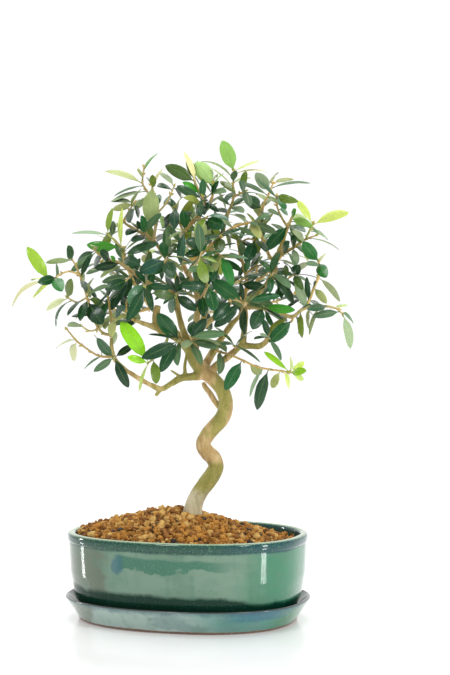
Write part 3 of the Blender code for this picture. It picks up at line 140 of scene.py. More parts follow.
# Where on its length a leaf starts to need room, and from where it takes room
NEEDS_FROM = 0.16
TAKES_FROM = 0.10

# Opposite pairs on the stems that have no drawn leaves: shares of the stem, degrees, millimetres
PAIR_FIRST = 0.42
PAIR_RUN = 0.54
PAIR_LAST = 0.97
PAIR_STRAY = 0.2
PAIR_TURN = 20
PAIR_SPREAD = (40, 65)
PAIR_DROOP = 0.12
PAIR_LENGTH = (20, 28)
PAIR_WIDTH = (0.26, 0.34)
PAIR_ARCH = 0.08

# A stem that starts near enough to another is joined already; else steps clear it, in millimetres
JOINED = 0.2
LEAST_RUN = 0.3
BUDDED_TRIES = 60
BUDDED_STEP = 0.2
BUDDED_LAST = 2.0

# Sides of the plain stems that leaves and stems are kept clear of
TRUNK_SIDES = 8
LIMB_SIDES = 5
STEM_SIDES = 4

# The plain blade: share of its length and of its width at two stations, older and young
BLADE_STATIONS = ((0.30, 0.84), (0.68, 0.94))
YOUNG_STATIONS = ((0.36, 0.70), (0.74, 1.0))
RIB_STEP = 0.02

# The fine blade: rows along it, columns across, and half its thickness on the stalk
BLADE_ROWS = (0.0, 0.075, 0.12, 0.20, 0.32, 0.46, 0.60, 0.73, 0.84, 0.92, 0.972, 1.0)
BLADE_COLUMNS = 4
STALK_HALF = 0.00034
TIP_HALF = 0.00022
BLADE_BODY = 0.32
TIP_BODY = 0.12

# Its outline: how far out it is widest, how full it is and where its narrow start ends
OUTLINE_SKEW = 0.96
YOUNG_SKEW = 1.25
OUTLINE_FULL = (2.4, 0.7)
OUTLINE_START = 0.30

# Its bends, least and greatest, against its width or length
FOLD = (0.02, 0.20)
ROLL = (0.06, 0.26)
CURL = (-0.07, 0.05)
WAVE = (0.0, 0.045)
WAVE_TURNS = 17.0
SWAY = (-0.03, 0.03)

# The fine trunk: points for each stretch, sides, grid, smoothing, and broad and fine ridges
SKIN_STEPS = 6
SKIN_TRUNK_SIDES = 20
SKIN_LIMB_SIDES = 14
SKIN_GRID = 0.00062
SKIN_SOFT = (0.5, 4)
SKIN_RIDGES = (((140, 140, 60), 0.00050), ((420, 420, 160), 0.00016))

# Fine stems: points for each stretch, and the rounding and the swelling at a joint
STEM_STEPS = 5
STEM_THIN = 0.9
STEM_SWELL = 1.14
STEM_LEAST = 0.35
STEM_ROUND = 1.4
STEM_END = ((0.35, 0.92), (0.65, 0.66), (0.80, 0.30))
FINE_SIDES = 8

# Buds: least and greatest length, thickness against length, sides, and widths along them
BUD_LENGTH = (0.0016, 0.0034)
BUD_SLIM = 0.26
BUD_SPREAD = 0.7
BUD_SIDES = 6
BUD_ROWS = ((0.0, 0.5), (0.35, 1.0), (0.7, 0.7), (1.0, 0.12))

# Soil granules: spacing, least and greatest size, height above the mound, share that is kept
GRANULE_LAYERS = (
    (0.0038, 0.0032, 0.0052, 0.0000, 1.0), (0.0054, 0.0034, 0.0060, 0.0020, 0.62),
    (0.0034, 0.0015, 0.0030, 0.0020, 0.62),
)
GRANULE_ROW = 0.866
GRANULE_STRAY = 0.35
GRANULE_CLEAR = 0.0004
GRANULE_SINK = 0.0007
GRANULE_SQUEEZE = ((0.8, 1.15), (0.8, 1.15), (0.7, 1.0))
GRANULE_BULGES = ((1.5, 0.46), (3.6, 0.34))
TRUNK_AT = RIGHT * 0.0035
TRUNK_ROOM = 0.0062

# Near this place the granules are larger, and many of the ochre ones are amber
LUMP_AT = RIGHT * -0.016 + BACK * -0.004
LUMP_REACH = 0.030
LUMP_GROWN = 1.12
LUMP_AMBER = 0.45

# Dark, middle and light tone of each kind of granule, and its share
CLAYS = {
    "ochre": (((150, 98, 36), (206, 146, 62), (230, 178, 96)), 0.58),
    "amber": (((190, 142, 70), (228, 186, 106), (242, 212, 146)), 0.18),
    "brown": (((104, 68, 30), (156, 104, 48), (184, 132, 72)), 0.21),
    "slate": (((46, 42, 38), (78, 68, 58), (108, 94, 80)), 0.03),
}

# Small leaves that fill the crown: step along a stem, length, and the ovals their tips stay in
EXTRA_STEP = 0.0062
EXTRA_LENGTH = (15.0, 25.0)
EXTRA_STRAY = (0.2, 0.8)
EXTRA_SPREAD = (35, 70)
EXTRA_FRONT = 0.8
EXTRA_WIDTH = (0.24, 0.34)
EXTRA_CLEAR = 0.0002
EXTRA_START = 0.22
CROWN_OVALS = ((8, 268, 74, 70), (-40, 240, 44, 42), (56, 245, 44, 48), (10, 225, 50, 30))

# Light and lens
SURROUND_TURN = (-0.1, 0.85)
SURROUND_FRONT = 0.50
SURROUND_BACK = 1.06
MIDDLE = UP * 0.19
TOP_BOX_AT = MIDDLE + UP * 0.95 + BACK * 0.20
TOP_BOX_SIZE = (0.9, 0.7)
TOP_POWER = 7.0
GLINT_REACH = 0.95
GLINT_HEIGHT = 0.20
GLINT_AIM = UP * 0.04
GLINT_INSET = 0.002
GLINTS = (("right_box", 0.0550, (0.13, 0.14), 2.2), ("left_box", -0.0760, (0.10, 0.14), 1.4))
FRONT_BOXES = (("high_left_box", -0.60, 0.95), ("high_right_box", 0.70, 0.85))
FRONT_BOX_NEAR = 0.85
FRONT_BOX_SIZE = (0.28, 0.28)
FRONT_BOX_POWER = 3.0
FLOOR_HALF = 3
SENSOR_WIDTH = 36.0
LENS = 79.57

# Leaf tones, as the eye sees them, 0 to 255
WHITE = (255, 255, 255)
TONES = {
    "dark": (8, 58, 28), "deep": (12, 72, 38), "mid_dark": (22, 88, 44), "mid": (40, 106, 52),
    "green_dark": (8, 82, 34), "green": (30, 118, 42), "green_light": (94, 158, 60),
    "light_green": (150, 202, 96), "teal_dark": (20, 70, 50), "teal": (60, 112, 82),
    "sheen": (84, 130, 94), "bright": (66, 160, 30), "lime": (146, 210, 16),
    "pale_lime": (204, 232, 112), "pale_green": (182, 220, 134), "yellow_green": (158, 194, 50),
    "olive": (100, 126, 48), "olive_dark": (62, 92, 34), "olive_green": (118, 146, 46),
    "olive_light": (146, 164, 70), "olive_pale": (168, 180, 112), "grey": (90, 126, 86),
    "grey_dark": (44, 84, 52), "grey_pale": (150, 172, 130), "mid_grey": (74, 110, 74),
    "cream": (218, 220, 168),
}
UNDERSIDES = ("grey", "grey_pale", "mid_grey", "olive_pale", "cream")
UNDER_COMMON = (150, 164, 112)
UNDER_YOUNG = (198, 218, 120)
INNER_TONES = ("dark", "deep", "mid_dark", "grey_dark", "green_dark", "deep", "mid", "olive_dark")
# Paler tones for leaves high in the crown: partly undersides, partly painted light shining through
# the leaves
HIGH_TONES = (
    "olive", "grey", "mid_grey", "olive_green", "mid_dark", "olive_pale", "olive_light", "mid",
)
HIGH_FROM = 0.262
TWIG_TONES = ((214, 190, 126), (200, 174, 112), (182, 162, 98), (208, 178, 110))
SHOOT_TONES = ((160, 172, 80), (176, 182, 96))
BUD_TONES = ((190, 178, 84), (206, 178, 104), (168, 178, 78))
TONE_SPREAD = 0.10
TONE_WARMTH = 0.05

# Trunk and the limbs that grew with it: right, up, behind, radius, in millimetres
TRUNK = [
    (3.5, 45, 0, 8.5), (3.5, 66, 0, 8.1), (3.9, 75, 0, 7.2), (5.6, 82, 0.5, 6.6), (9, 89, 1.5, 6.3),
    (14, 96, 2.5, 6.3), (19, 102.5, 3.5, 6.2), (21.3, 108.5, 3, 6.0), (19.3, 114.3, 1, 5.9),
    (14.4, 119, -1.5, 5.7), (11.6, 125, -2.5, 5.4), (14.5, 131.5, -2, 5.5), (20.5, 138.5, -1, 5.8),
    (26, 145, 0.5, 5.9), (28.5, 153, 1.5, 5.5), (27.8, 160.5, 1.5, 5.3), (24.6, 167.8, 1, 5.3),
    (18.6, 174.4, 0.5, 5.5), (12, 180, 0, 5.5), (6.5, 185.5, -1, 5.2), (2.8, 192, -2, 4.6),
    (0, 199, -3, 3.6),
]
LIMBS = {
    "low_stub": [
        (25, 151, 3, 2.3), (20.5, 157, 4.5, 2.2), (16.4, 163.5, 5.5, 2.2), (13.2, 168, 6, 2.0),
        (11.6, 171.3, 6.5, 1.4),
    ],
    "left_limb": [
        (10, 177, 0, 3.6), (2, 175.5, -3, 3.2), (-5, 174.5, -6, 2.9), (-12, 170.5, -9, 2.2),
        (-19.5, 166.5, -12, 2.1), (-27, 169, -15, 2.0), (-34, 172.8, -17, 1.9),
        (-41, 177, -19, 1.8), (-48, 182, -20, 1.7), (-54.5, 188.5, -21, 1.9), (-57, 196, -21, 1.5),
        (-57.3, 205, -21, 1.4),
    ],
    "left_stub": [(-19, 167, -12, 1.5), (-24, 161.5, -14, 1.1)],
    "left_riser": [
        (-2, 176, -5, 1.9), (-2.2, 183, -6, 1.3), (-1.2, 190, -6, 1.1), (0, 197, -4, 1.2),
    ],
    "left_snag": [(-4, 175, -6, 1.3), (-9, 178, -9, 0.9), (-13, 180.5, -11, 0.7)],
    "centre_left": [
        (1.5, 194.5, -3, 3.6), (-5, 202, -6, 3.2), (-13, 207, -10, 3.0), (-21, 211.5, -13, 3.2),
        (-24, 219, -15, 2.9), (-22.5, 229, -17, 2.5),
    ],
    "left_reach": [(-20, 211, -13, 2.4), (-30, 214.5, -17, 2.1), (-40, 218, -20, 1.6)],
    "centre_a": [
        (3, 195, -2, 3.6), (5.5, 207, -4, 3.0), (7, 220, -5, 2.7), (8, 232, -4, 2.4),
        (5, 243, -3, 2.2), (0, 253, -2, 2.1), (-4, 260, -1, 1.9),
    ],
    "centre_b": [
        (1, 198, -3, 3.2), (-4, 212, 0, 2.6), (-7.5, 226, 2, 2.4), (-9, 238, 1, 2.2),
        (-8, 248, -3, 2.0), (-12, 257, -8, 1.8),
    ],
    "right_limb": [
        (16, 178, 2, 3.6), (22, 184, -3, 2.9), (29, 189.5, -8, 2.6), (36, 195.5, -12, 2.5),
        (41, 201, -14, 2.5), (42.5, 210, -13, 2.2), (43.5, 219, -10, 2.1), (43, 227.5, -6, 2.3),
        (48, 235, -2, 2.3), (55, 240.5, 1, 2.5), (61, 246.5, 3, 2.8), (64.5, 254, 4, 2.9),
        (65.2, 262, 4, 2.8), (68, 268.5, 3, 2.2),
    ],
    "right_stub": [
        (39.5, 199.5, -13.5, 2.4), (48, 198.5, -17, 2.4), (55, 199, -20, 2.4),
        (59.5, 203, -22, 2.2), (61.5, 208.5, -23, 1.9),
    ],
    "centre_right": [
        (11, 180, 1, 3.8), (16, 189, 5, 3.2), (22, 199, 7, 2.8), (28, 208, 5, 2.4),
        (34, 216, 1, 2.2), (40, 222, -4, 2.1), (43.5, 228, -6, 2.0),
    ],
    "back_centre": [
        (4, 190, -1, 3.0), (8, 205, 12, 2.7), (12, 220, 22, 2.4), (14, 236, 30, 2.2),
        (12, 253, 35, 1.9),
    ],
    "back_left": [(0, 200, -2, 2.6), (-14, 214, 16, 2.3), (-27, 227, 28, 1.9)],
    "back_right": [(9, 210, 15, 2.2), (24, 224, 28, 2.0), (38, 236, 36, 1.8)],
    "deep_back": [(12, 222, 23, 2.0), (10, 232, 42, 1.7)],
}
BRANCHES = {}


class Branch:
    """A leafy branch as the front view draws it.

    A stem's points are right, up, behind and radius. A leaf is where it springs, where its tip
    is seen, how wide it looks, its tone, and how far it leans to (-) or from (+) the eye.
    A branch that the photo doesn't show apart has no leaves drawn: they grow in pairs.
    """

    def __init__(self, name, stems, leaves=(), young=False):
        self.stems, self.leaves, self.young = stems, leaves, young
        BRANCHES[name] = self


Branch("low_left_fork", [[(-55, 190, -23.5, 1.2), (-55.5, 190, -30, 0.9)]], [
    (-55, 187, -44.5, 167.5, 7.6, "dark", 0.3), (-57, 188.5, -70.5, 179.5, 5.6, "grey", -0.4),
    (-57, 191, -68, 204.5, 7, "grey_dark"), (-53, 192.5, -41.5, 199, 5.5, "dark", 0.5),
])
Branch("left_bare_twig", [[
    (-58.5, 190.5, -22, 1.1), (-66, 191, -24, 0.9), (-72, 194, -26, 0.8), (-79, 199, -27, 0.8),
    (-84, 203, -28, 0.8), (-90.5, 211, -30, 0.6),
]], [
    (-64, 192, -77, 181, 1.4, "grey", 0.6), (-83, 202, -86, 188, 6, "cream", 1),
    (-86, 203, -98, 196, 1.2, "cream", 0.8),
])
Branch("lime_left", [[
    (-16, 202, -15, 1.2), (-20, 196, -19, 1.0), (-26, 189, -23, 0.9), (-29.5, 186, -25, 0.7),
]], [
    (-30, 187, -50, 216.5, 11.5, "lime"), (-30, 186.5, -45.5, 190.5, 5.6, "lime", -0.5),
    (-25, 188, -23.5, 170.5, 7.2, "olive_green"), (-29, 186, -37, 164.5, 2.5, "pale_lime", 0.5),
], young=True)
Branch("front_left_rosette", [[(-6, 203, -11, 1.3), (-7, 202.5, -20, 1.1), (-8, 202, -28, 0.8)]], [
    (-9, 203, -34.5, 189.5, 9.5, "deep", -0.6), (-8, 200, -20.5, 179, 8.6, "deep", -0.4),
    (-5, 201, -6.5, 183.5, 6, "grey", -1), (-6, 207, -22.5, 223, 11, "mid_dark", -0.7),
    (-9, 206, -19, 218, 6.5, "deep", 0.8),
])
Branch("front_right_rosette", [[(2, 201.5, -8.5, 1.3), (2.5, 203, -18, 1.1), (2, 205, -27, 0.8)]], [
    (2, 202, 23, 197, 6, "grey", -0.5), (4, 200, 9.5, 184, 6, "grey", -1),
    (2, 207, 28, 208, 6.2, "grey", -0.4), (3, 202, 25, 199.5, 4, "grey_pale", 0.5),
    (0, 208, 5, 218, 9, "mid_dark", 1), (3, 209, 14, 219, 8, "deep", -0.8),
    (1, 203, -3, 198, 6, "grey_pale", -1),
])
Branch("slender_right", [[
    (21.5, 195, 2, 1.1), (25, 194, -6, 1.0), (33, 191.5, -18, 0.9), (42, 187.5, -26, 0.9),
    (52, 183, -31, 0.8), (62, 181, -34, 0.8), (70, 180, -36, 0.7), (74, 179.3, -37, 0.7),
]], [
    (42, 187, 28, 165.5, 9.2, "mid_dark", -0.5), (24, 194, 24.5, 178.5, 5.6, "grey", -1),
    (46, 186, 56, 177, 7, "olive_pale", 0.8), (62, 181, 51.5, 150.5, 8.6, "grey_dark", 0),
    (57, 182, 45.5, 160.5, 3, "grey_pale", 0.5), (70, 180, 63, 167.5, 6, "olive_pale", 0.7),
    (71, 180, 76.5, 167, 4, "pale_lime", 0.8), (30, 193, 20, 203, 5, "grey", 0.9),
])
Branch("lime_right", [[(75.2, 179.1, -37.3, 0.9), (78, 178.7, -38, 0.7)]], [
    (76, 179, 57.5, 194.5, 4.4, "lime", -0.2), (78, 179, 87, 186.5, 5, "pale_lime", -0.5),
    (78, 178, 88.5, 180, 5.5, "lime", -0.8), (78, 178, 87, 173.5, 4.5, "pale_lime", 0.5),
    (77, 180, 76, 191, 2.5, "pale_lime", 0.9),
], young=True)
Branch("stub_spray", [[(60.5, 204.5, -25.5, 1.1), (61, 204.5, -31, 0.8)]], [
    (60, 204, 70.5, 188, 4, "grey", -0.4), (61, 205, 55, 206.5, 1.4, "grey_pale", -0.8),
])
Branch("right_limb_spur", [[(36, 197.5, -15.5, 1.1), (34.5, 199, -22, 0.8)]], [
    (34, 198.5, 54.5, 186.5, 2.2, "grey", -0.2), (34, 199, 26, 200.5, 1.6, "grey_dark", -0.9),
])
Branch("right_lateral", [
    [
        (45.6, 227.8, -8.5, 1.9), (55, 227, -12, 1.7), (67, 224.5, -15, 1.6), (78, 220.5, -18, 1.6),
        (86, 226, -19, 1.3), (95, 228.3, -20, 1.1), (104, 228.5, -21, 1.0), (113, 226.5, -22, 0.9),
    ],
    [(79, 220.5, -18, 1.2), (78.5, 218, -24, 0.9)],
    [(112, 226.7, -22, 0.9), (116, 223, -24, 0.7)],
    [(56, 227, -12, 1.2), (57, 228, -20, 0.9)],
], [
    (77, 218, 61, 201.5, 9.6, "green_dark", -0.6), (76, 219, 57.5, 205.5, 6, "olive_light", 0.6),
    (82, 221, 82, 208, 2, "grey", 1), (86, 228, 85, 204.5, 4.6, "olive_green", -0.2),
    (114, 224.5, 94, 220.5, 6, "grey", -0.3), (115, 224, 124.5, 215.5, 2.6, "grey", 0.7),
    (116, 222, 123, 196.5, 6.6, "grey_pale", 0), (113, 227, 119.5, 228.5, 2.2, "pale_lime", 1),
    (104, 228.5, 90.5, 227, 5.8, "grey_dark", -0.8), (99, 228, 90, 207, 3.2, "grey_pale", 0.5),
    (93, 228, 91, 212, 3, "cream", 0.8), (57, 228, 48.5, 211, 10.5, "grey_dark", -0.6),
    (56, 229.5, 80.5, 225.5, 6.8, "bright", -0.4), (62, 226, 74.5, 217.5, 5, "grey_dark", 0.8),
])
Branch("right_upper_stem", [[
    (90.5, 231, -21, 1.3), (92.5, 236, -19, 1.2), (95, 243, -16, 1.2), (98, 250, -13, 1.3),
    (98.8, 257, -12, 1.0), (98.3, 262, -11, 0.8),
]], [
    (98.5, 261, 86.5, 277, 9.4, "green", -0.4), (99, 261, 104, 250, 8.6, "green", -1),
    (98.5, 260, 90, 260.5, 3.2, "grey", -0.9), (98, 250, 115.5, 232.5, 4.8, "grey_pale", 0.2),
    (94, 242, 104.5, 230.5, 5.8, "olive_pale", -0.5), (95, 243, 97, 247, 2, "grey_dark", -0.6),
    (98.5, 260, 103, 268, 3, "cream", 0.9),
])
Branch("right_crown_node", [
    [(43, 229.5, -9, 1.5), (43.5, 230.5, -18, 1.3), (44, 231, -28, 0.9)],
    [(43, 230, -14, 1.1), (37, 232.5, -24, 1.0), (32, 232.5, -30, 0.7)],
], [
    (45, 229.5, 78, 222.5, 7.6, "grey", 0), (44, 231, 69.5, 236, 5.4, "mid_dark", -0.2),
    (42, 234, 57, 237, 3.4, "olive_pale", 0.9), (44, 227, 42, 208, 5.8, "grey_dark", -0.5),
    (41, 231, 18, 248, 11.5, "mid", -0.3), (38, 228, 20, 213, 8.6, "deep", -0.4),
    (32, 231.5, 19.5, 218, 9.4, "deep", -0.6),
])
Branch("centre_front", [[(8.5, 233, -8, 1.3), (12, 238, -22, 1.1), (15, 243, -38, 0.8)]], [
    (16, 245, 20, 225, 9.6, "green_dark", -0.3), (14, 236, 12, 220.5, 7.8, "green_dark", -0.5),
    (14, 243, -4.5, 244, 7.4, "deep", -0.5), (12, 240, 26, 243, 5, "mid", 1),
])
Branch("centre_front_left", [[(-9, 237.5, -3, 1.3), (-9, 238, -18, 1.1), (-9, 236.5, -34, 0.8)]], [
    (-9, 236.5, 6.5, 225.5, 7.6, "dark", -0.6), (-8, 234, -26, 239, 7, "olive_dark", -0.5),
    (-10, 238, -13, 224, 6, "mid_dark", 0.9), (-8, 240, 3, 248, 5, "mid_dark", 1),
])
Branch("up_left", [
    [
        (-12, 238.5, -1, 1.8), (-16, 240.5, -4, 1.8), (-24, 243.5, -8, 1.7), (-31.5, 247, -12, 1.7),
        (-39, 252.5, -15, 1.7), (-46, 257.5, -18, 1.6), (-52, 261.5, -19, 1.3),
        (-60, 263, -20, 1.2), (-66, 267.5, -21, 1.1), (-70, 271, -22, 0.8),
    ],
    [(-31, 247, -12, 1.2), (-31, 246, -22, 1.0), (-32, 243, -32, 0.7)],
    [(-40, 253, -15, 1.1), (-43, 251, -24, 0.9), (-46, 248, -32, 0.7)],
    [
        (-47, 258.5, -18, 1.2), (-48.5, 266, -21, 1.0), (-49.5, 272, -22, 0.9),
        (-54, 277, -22, 0.8), (-59.5, 282, -22, 0.7),
    ],
], [
    (-31.5, 245, -44.5, 230, 11.4, "sheen", -0.6), (-31, 244, -12.5, 242.5, 6.4, "deep", -0.5),
    (-32, 241, -45.5, 217.5, 8.6, "deep", -0.2), (-42, 249, -57, 225.5, 7.4, "teal_dark", 0),
    (-45, 249, -62, 241, 8.4, "dark", -0.7), (-44, 251, -64, 246.5, 6, "mid_grey", 0.2),
    (-41, 252, -50, 238, 7.6, "grey_dark", 0.9), (-50, 260, -70, 257, 6.6, "dark", -0.4),
    (-50, 272, -49, 302, 3.8, "pale_lime", 0), (-51, 273, -76.5, 274.5, 8, "bright", 0),
    (-47.5, 267, -22, 277, 6.6, "grey_dark", -0.3), (-47, 264, -36, 260, 8, "deep", -1),
    (-55, 262, -57.5, 266, 3, "bright", -0.5), (-59, 282, -56, 301.5, 4.4, "olive_green", 0.3),
    (-60, 281.5, -87, 283, 2.6, "grey_pale", 0.2), (-59, 264, -66, 270, 6.5, "teal_dark", -1),
    (-70, 266.5, -88, 254, 5.8, "grey", -0.3), (-70, 270, -83.5, 260, 5.8, "grey_dark", 0.6),
    (-58, 281, -50, 285, 1.4, "grey_pale", 0.8), (-64, 266, -70, 258, 5, "dark", 1),
])
Branch("outer_left", [
    [
        (-58.6, 207, -22.5, 1.2), (-63, 208, -23, 1.2), (-67, 212, -24.5, 1.1),
        (-70, 218, -25.5, 1.1), (-73, 226.5, -26, 1.0), (-75.5, 235, -26.5, 1.0),
        (-78.5, 245, -27, 0.9), (-81.5, 253, -27.5, 0.9), (-84, 259, -28, 0.8),
        (-87, 264, -28, 0.7),
    ],
    [
        (-81.5, 252, -27.5, 0.8), (-88, 254.5, -30, 0.7), (-94, 253.3, -33, 0.7),
        (-99, 250, -35, 0.7), (-104, 247, -36, 0.6),
    ],
    [
        (-75.5, 235.5, -26.5, 0.8), (-82, 231.5, -30, 0.8), (-87, 233, -33, 0.7),
        (-90, 235, -34, 0.7),
    ],
    [(-75, 233, -26.5, 0.9), (-75, 233.5, -35, 0.7)],
    [(-68, 211, -24.5, 0.8), (-74, 210, -27, 0.7), (-80, 214, -29, 0.7)],
], [
    (-87, 263.5, -106.5, 261, 4.2, "olive", -0.4), (-87, 263.5, -89.5, 273.5, 5.8, "grey_dark", -1),
    (-80, 256, -79, 243, 4.8, "olive_light", 1), (-104, 248, -120.5, 273.5, 8.8, "yellow_green", 0),
    (-99, 250, -94.5, 239.5, 9, "green", -1), (-99, 250, -112, 246.5, 7, "green_dark", -0.7),
    (-99, 251, -100, 262.5, 2.2, "grey", 1), (-104, 247, -133.5, 228, 3.2, "cream", 0.2, 0.2),
    (-97, 249.5, -117, 235, 2.8, "pale_lime", 0.6), (-104, 248, -117, 249, 2, "pale_lime", 1),
    (-90, 235, -87.5, 249, 6.2, "olive", -0.8), (-90, 235, -106, 225.5, 4.8, "cream", 0.5),
    (-86, 232.5, -98.5, 213, 1.8, "grey_dark", -0.3, 0.22),
    (-78, 234, -90.5, 222, 2.6, "dark", -0.8), (-75, 232, -64, 215, 12, "dark", -0.5),
    (-74, 236, -63, 230, 5.4, "olive", 0.8), (-74, 236.5, -60, 244, 2.4, "grey", -0.9),
    (-71, 222, -87, 220.5, 3.4, "deep", -0.8), (-79.5, 213.5, -90, 213.5, 3.8, "grey_pale", -0.9),
    (-66, 211, -62, 219, 4, "olive_pale", -1), (-76, 238, -70, 249, 1.6, "grey_pale", 0.8),
    (-78, 244, -72, 236, 5, "olive_pale", 1),
])
Branch("left_stem_top", [
    [(-57.2, 206.8, -21, 1.3), (-57, 215, -20, 1.4), (-58, 223, -18, 1.2), (-59.5, 234, -16, 0.8)],
    [(-57, 216, -20, 1.0), (-55, 219, -28, 0.7)],
], [
    (-58, 222, -62.5, 212, 4.4, "olive_pale", -0.9), (-55, 219, -57, 206.5, 6, "olive_pale", -0.8),
    (-57, 212, -55.5, 200.5, 5, "olive_green", 0.9), (-55, 220, -47, 228, 5, "teal_dark", -1),
    (-59, 233, -50, 239, 5, "dark", -0.9), (-57, 224, -50, 216, 7, "olive_pale", 1),
    (-59.5, 233, -66, 240, 2.4, "grey", 0.8), (-59.5, 234, -58, 246, 4.5, "dark", 0.9),
])
Branch("left_reach_spray", [[
    (-42, 219.2, -20.8, 1.2), (-46, 224, -22, 1.0), (-46, 231, -24, 0.8),
]], [
    (-45, 226, -36, 219, 5.5, "olive_green", 0.9), (-46, 230, -53, 240, 6, "teal_dark", 0.8),
    (-46, 229, -38, 236, 6, "dark", 1), (-44, 222, -51, 219, 5.5, "olive_pale", -1),
])
Branch("upper_left", [
    [
        (-13.5, 260.5, -9.5, 1.7), (-18, 267, -10, 1.6), (-25, 277, -11, 1.5),
        (-33, 282.5, -12, 1.4), (-41, 287, -14, 1.3), (-47.5, 292, -15, 1.0), (-44, 300, -16, 0.8),
        (-40, 306, -16, 0.7),
    ],
    [(-18, 267, -10, 1.2), (-16.5, 265, -22, 1.0), (-17, 262, -36, 0.7)],
    [(-33, 282.5, -12, 1.0), (-31, 283, -22, 0.7)],
], [
    (-43, 303, -43.5, 291.5, 5.8, "dark", -1), (-40, 306, -56.5, 301, 5.4, "olive_pale", -0.3),
    (-39, 307, -58, 307.5, 3.4, "grey_pale", 0.3), (-41, 304, -37, 296, 4, "dark", 1),
    (-31, 281.5, -42, 276, 5.6, "teal_dark", -1), (-30, 284, -34, 296, 5.4, "mid_dark", -0.9),
    (-17, 264, -36, 254, 10.5, "teal_dark", -0.3), (-15, 263, -27, 253, 8.4, "mid_dark", -0.9),
    (-18, 260, -11, 249.5, 10, "grey_dark", -0.9), (-17, 265, -7, 275, 5.6, "olive_dark", -0.8),
    (-46, 291, -58, 286, 3, "grey_pale", 0.8), (-38, 286, -46, 283, 4, "dark", -0.9),
    (-24, 276, -16, 284, 5.4, "dark", 0.9), (-27, 279, -34, 271, 5.6, "olive_dark", 0.9),
    (-17, 265, -24, 270, 5, "dark", 1),
])
Branch("top_left", [
    [
        (-25.5, 279.2, -12, 1.3), (-24, 289, -13, 1.2), (-22, 299, -13, 1.1), (-26, 308, -12, 1.0),
        (-31, 315.5, -11, 0.9), (-34, 321, -11, 0.8), (-33.5, 327, -11, 0.7), (-33, 333, -11, 0.6),
    ],
    [(-24, 304, -13, 0.9), (-25, 312, -16, 0.8), (-27, 319, -18, 0.7)],
    [(-22, 299, -13, 0.9), (-16, 306, -12, 0.8), (-13, 312, -12, 0.7), (-10.5, 318, -12, 0.6)],
], [
    (-36, 321.5, -62, 330.5, 4.4, "olive_light", 0), (-33, 329, -23, 344, 2.2, "green_light", 0.4),
    (-32, 318.5, -56, 312, 1.4, "grey", 0.1), (-30, 314, -58, 307.5, 3, "grey_pale", 0.4),
    (-34, 323, -37.5, 331, 1.2, "olive_pale", -0.8),
    (-27.5, 319, -27.5, 290.5, 12.5, "olive_pale", 0), (-26, 316, -30, 326, 4.4, "olive_dark", 0.9),
    (-26, 318, -18.5, 332, 2.2, "cream", 0.5), (-29, 312, -41, 301, 5.6, "olive_green", 0.5),
    (-11, 316, -22, 319.5, 2.8, "dark", -0.9), (-11, 318, -21.5, 328.5, 4.2, "grey_pale", 0.7),
    (-11, 317, -4, 310, 4.5, "grey_dark", 0.9), (-22, 300, -19, 287.5, 3, "pale_green", -0.8),
    (-16, 306, -7, 303, 4, "mid", 0.9),
])
Branch("branch_c", [
    [
        (-2, 261.2, -4, 1.8), (3, 263.5, -6, 1.7), (10, 268, -8, 1.6), (17, 274, -8, 1.5),
        (24, 280, -6, 1.5), (30, 284.5, -4, 1.4), (36, 288.5, -2, 1.2), (43, 290.5, -8, 1.0),
        (50, 292, -14, 0.8),
    ],
    [(13, 270.5, -8, 1.1), (14, 272, -20, 0.9), (14, 273, -32, 0.7)],
    [(22, 278, -7, 1.1), (24, 281, -18, 0.9), (25, 281, -30, 0.7)],
    [(17, 273, -8, 1.2), (21, 269, -18, 1.0), (25, 266.5, -28, 0.8)],
    [(9, 267, -8, 1.1), (12, 263, -20, 0.9), (17, 256, -32, 0.7)],
], [
    (14, 273, -1.5, 278, 8.4, "deep", -0.7), (13, 271.5, -1.5, 267, 6.4, "green_dark", -0.7),
    (19, 281, 5.5, 280, 3.6, "light_green", -0.9), (24, 280.5, 24, 269.5, 9, "olive_dark", -1),
    (23, 281.5, 11, 278, 4.4, "deep", -0.9), (24, 267, 17.5, 246.5, 6.8, "green_dark", -0.3),
    (26, 266.5, 33.5, 244, 7.8, "green", -0.2, 0.16), (26, 266.5, 45, 263.5, 2.2, "grey", -0.6),
    (17, 256, 0, 255, 4.8, "grey", -0.7), (12, 264, 13, 253.5, 6.2, "grey_dark", -1),
    (36, 288.5, 53, 280, 4.2, "grey", -0.5), (45, 291, 67, 284, 6.2, "grey", -0.4),
    (33, 287, 22, 295, 4, "grey_pale", -0.9), (30, 285, 41, 277, 4.4, "olive_green", 0.9),
    (50, 292, 61, 297, 3, "grey", -0.8), (27, 282, 33, 272, 4.2, "olive_green", 1),
    (43, 290.5, 36, 299, 4.6, "grey_pale", 0.8), (16, 273, 21, 283, 4.6, "dark", 1),
])
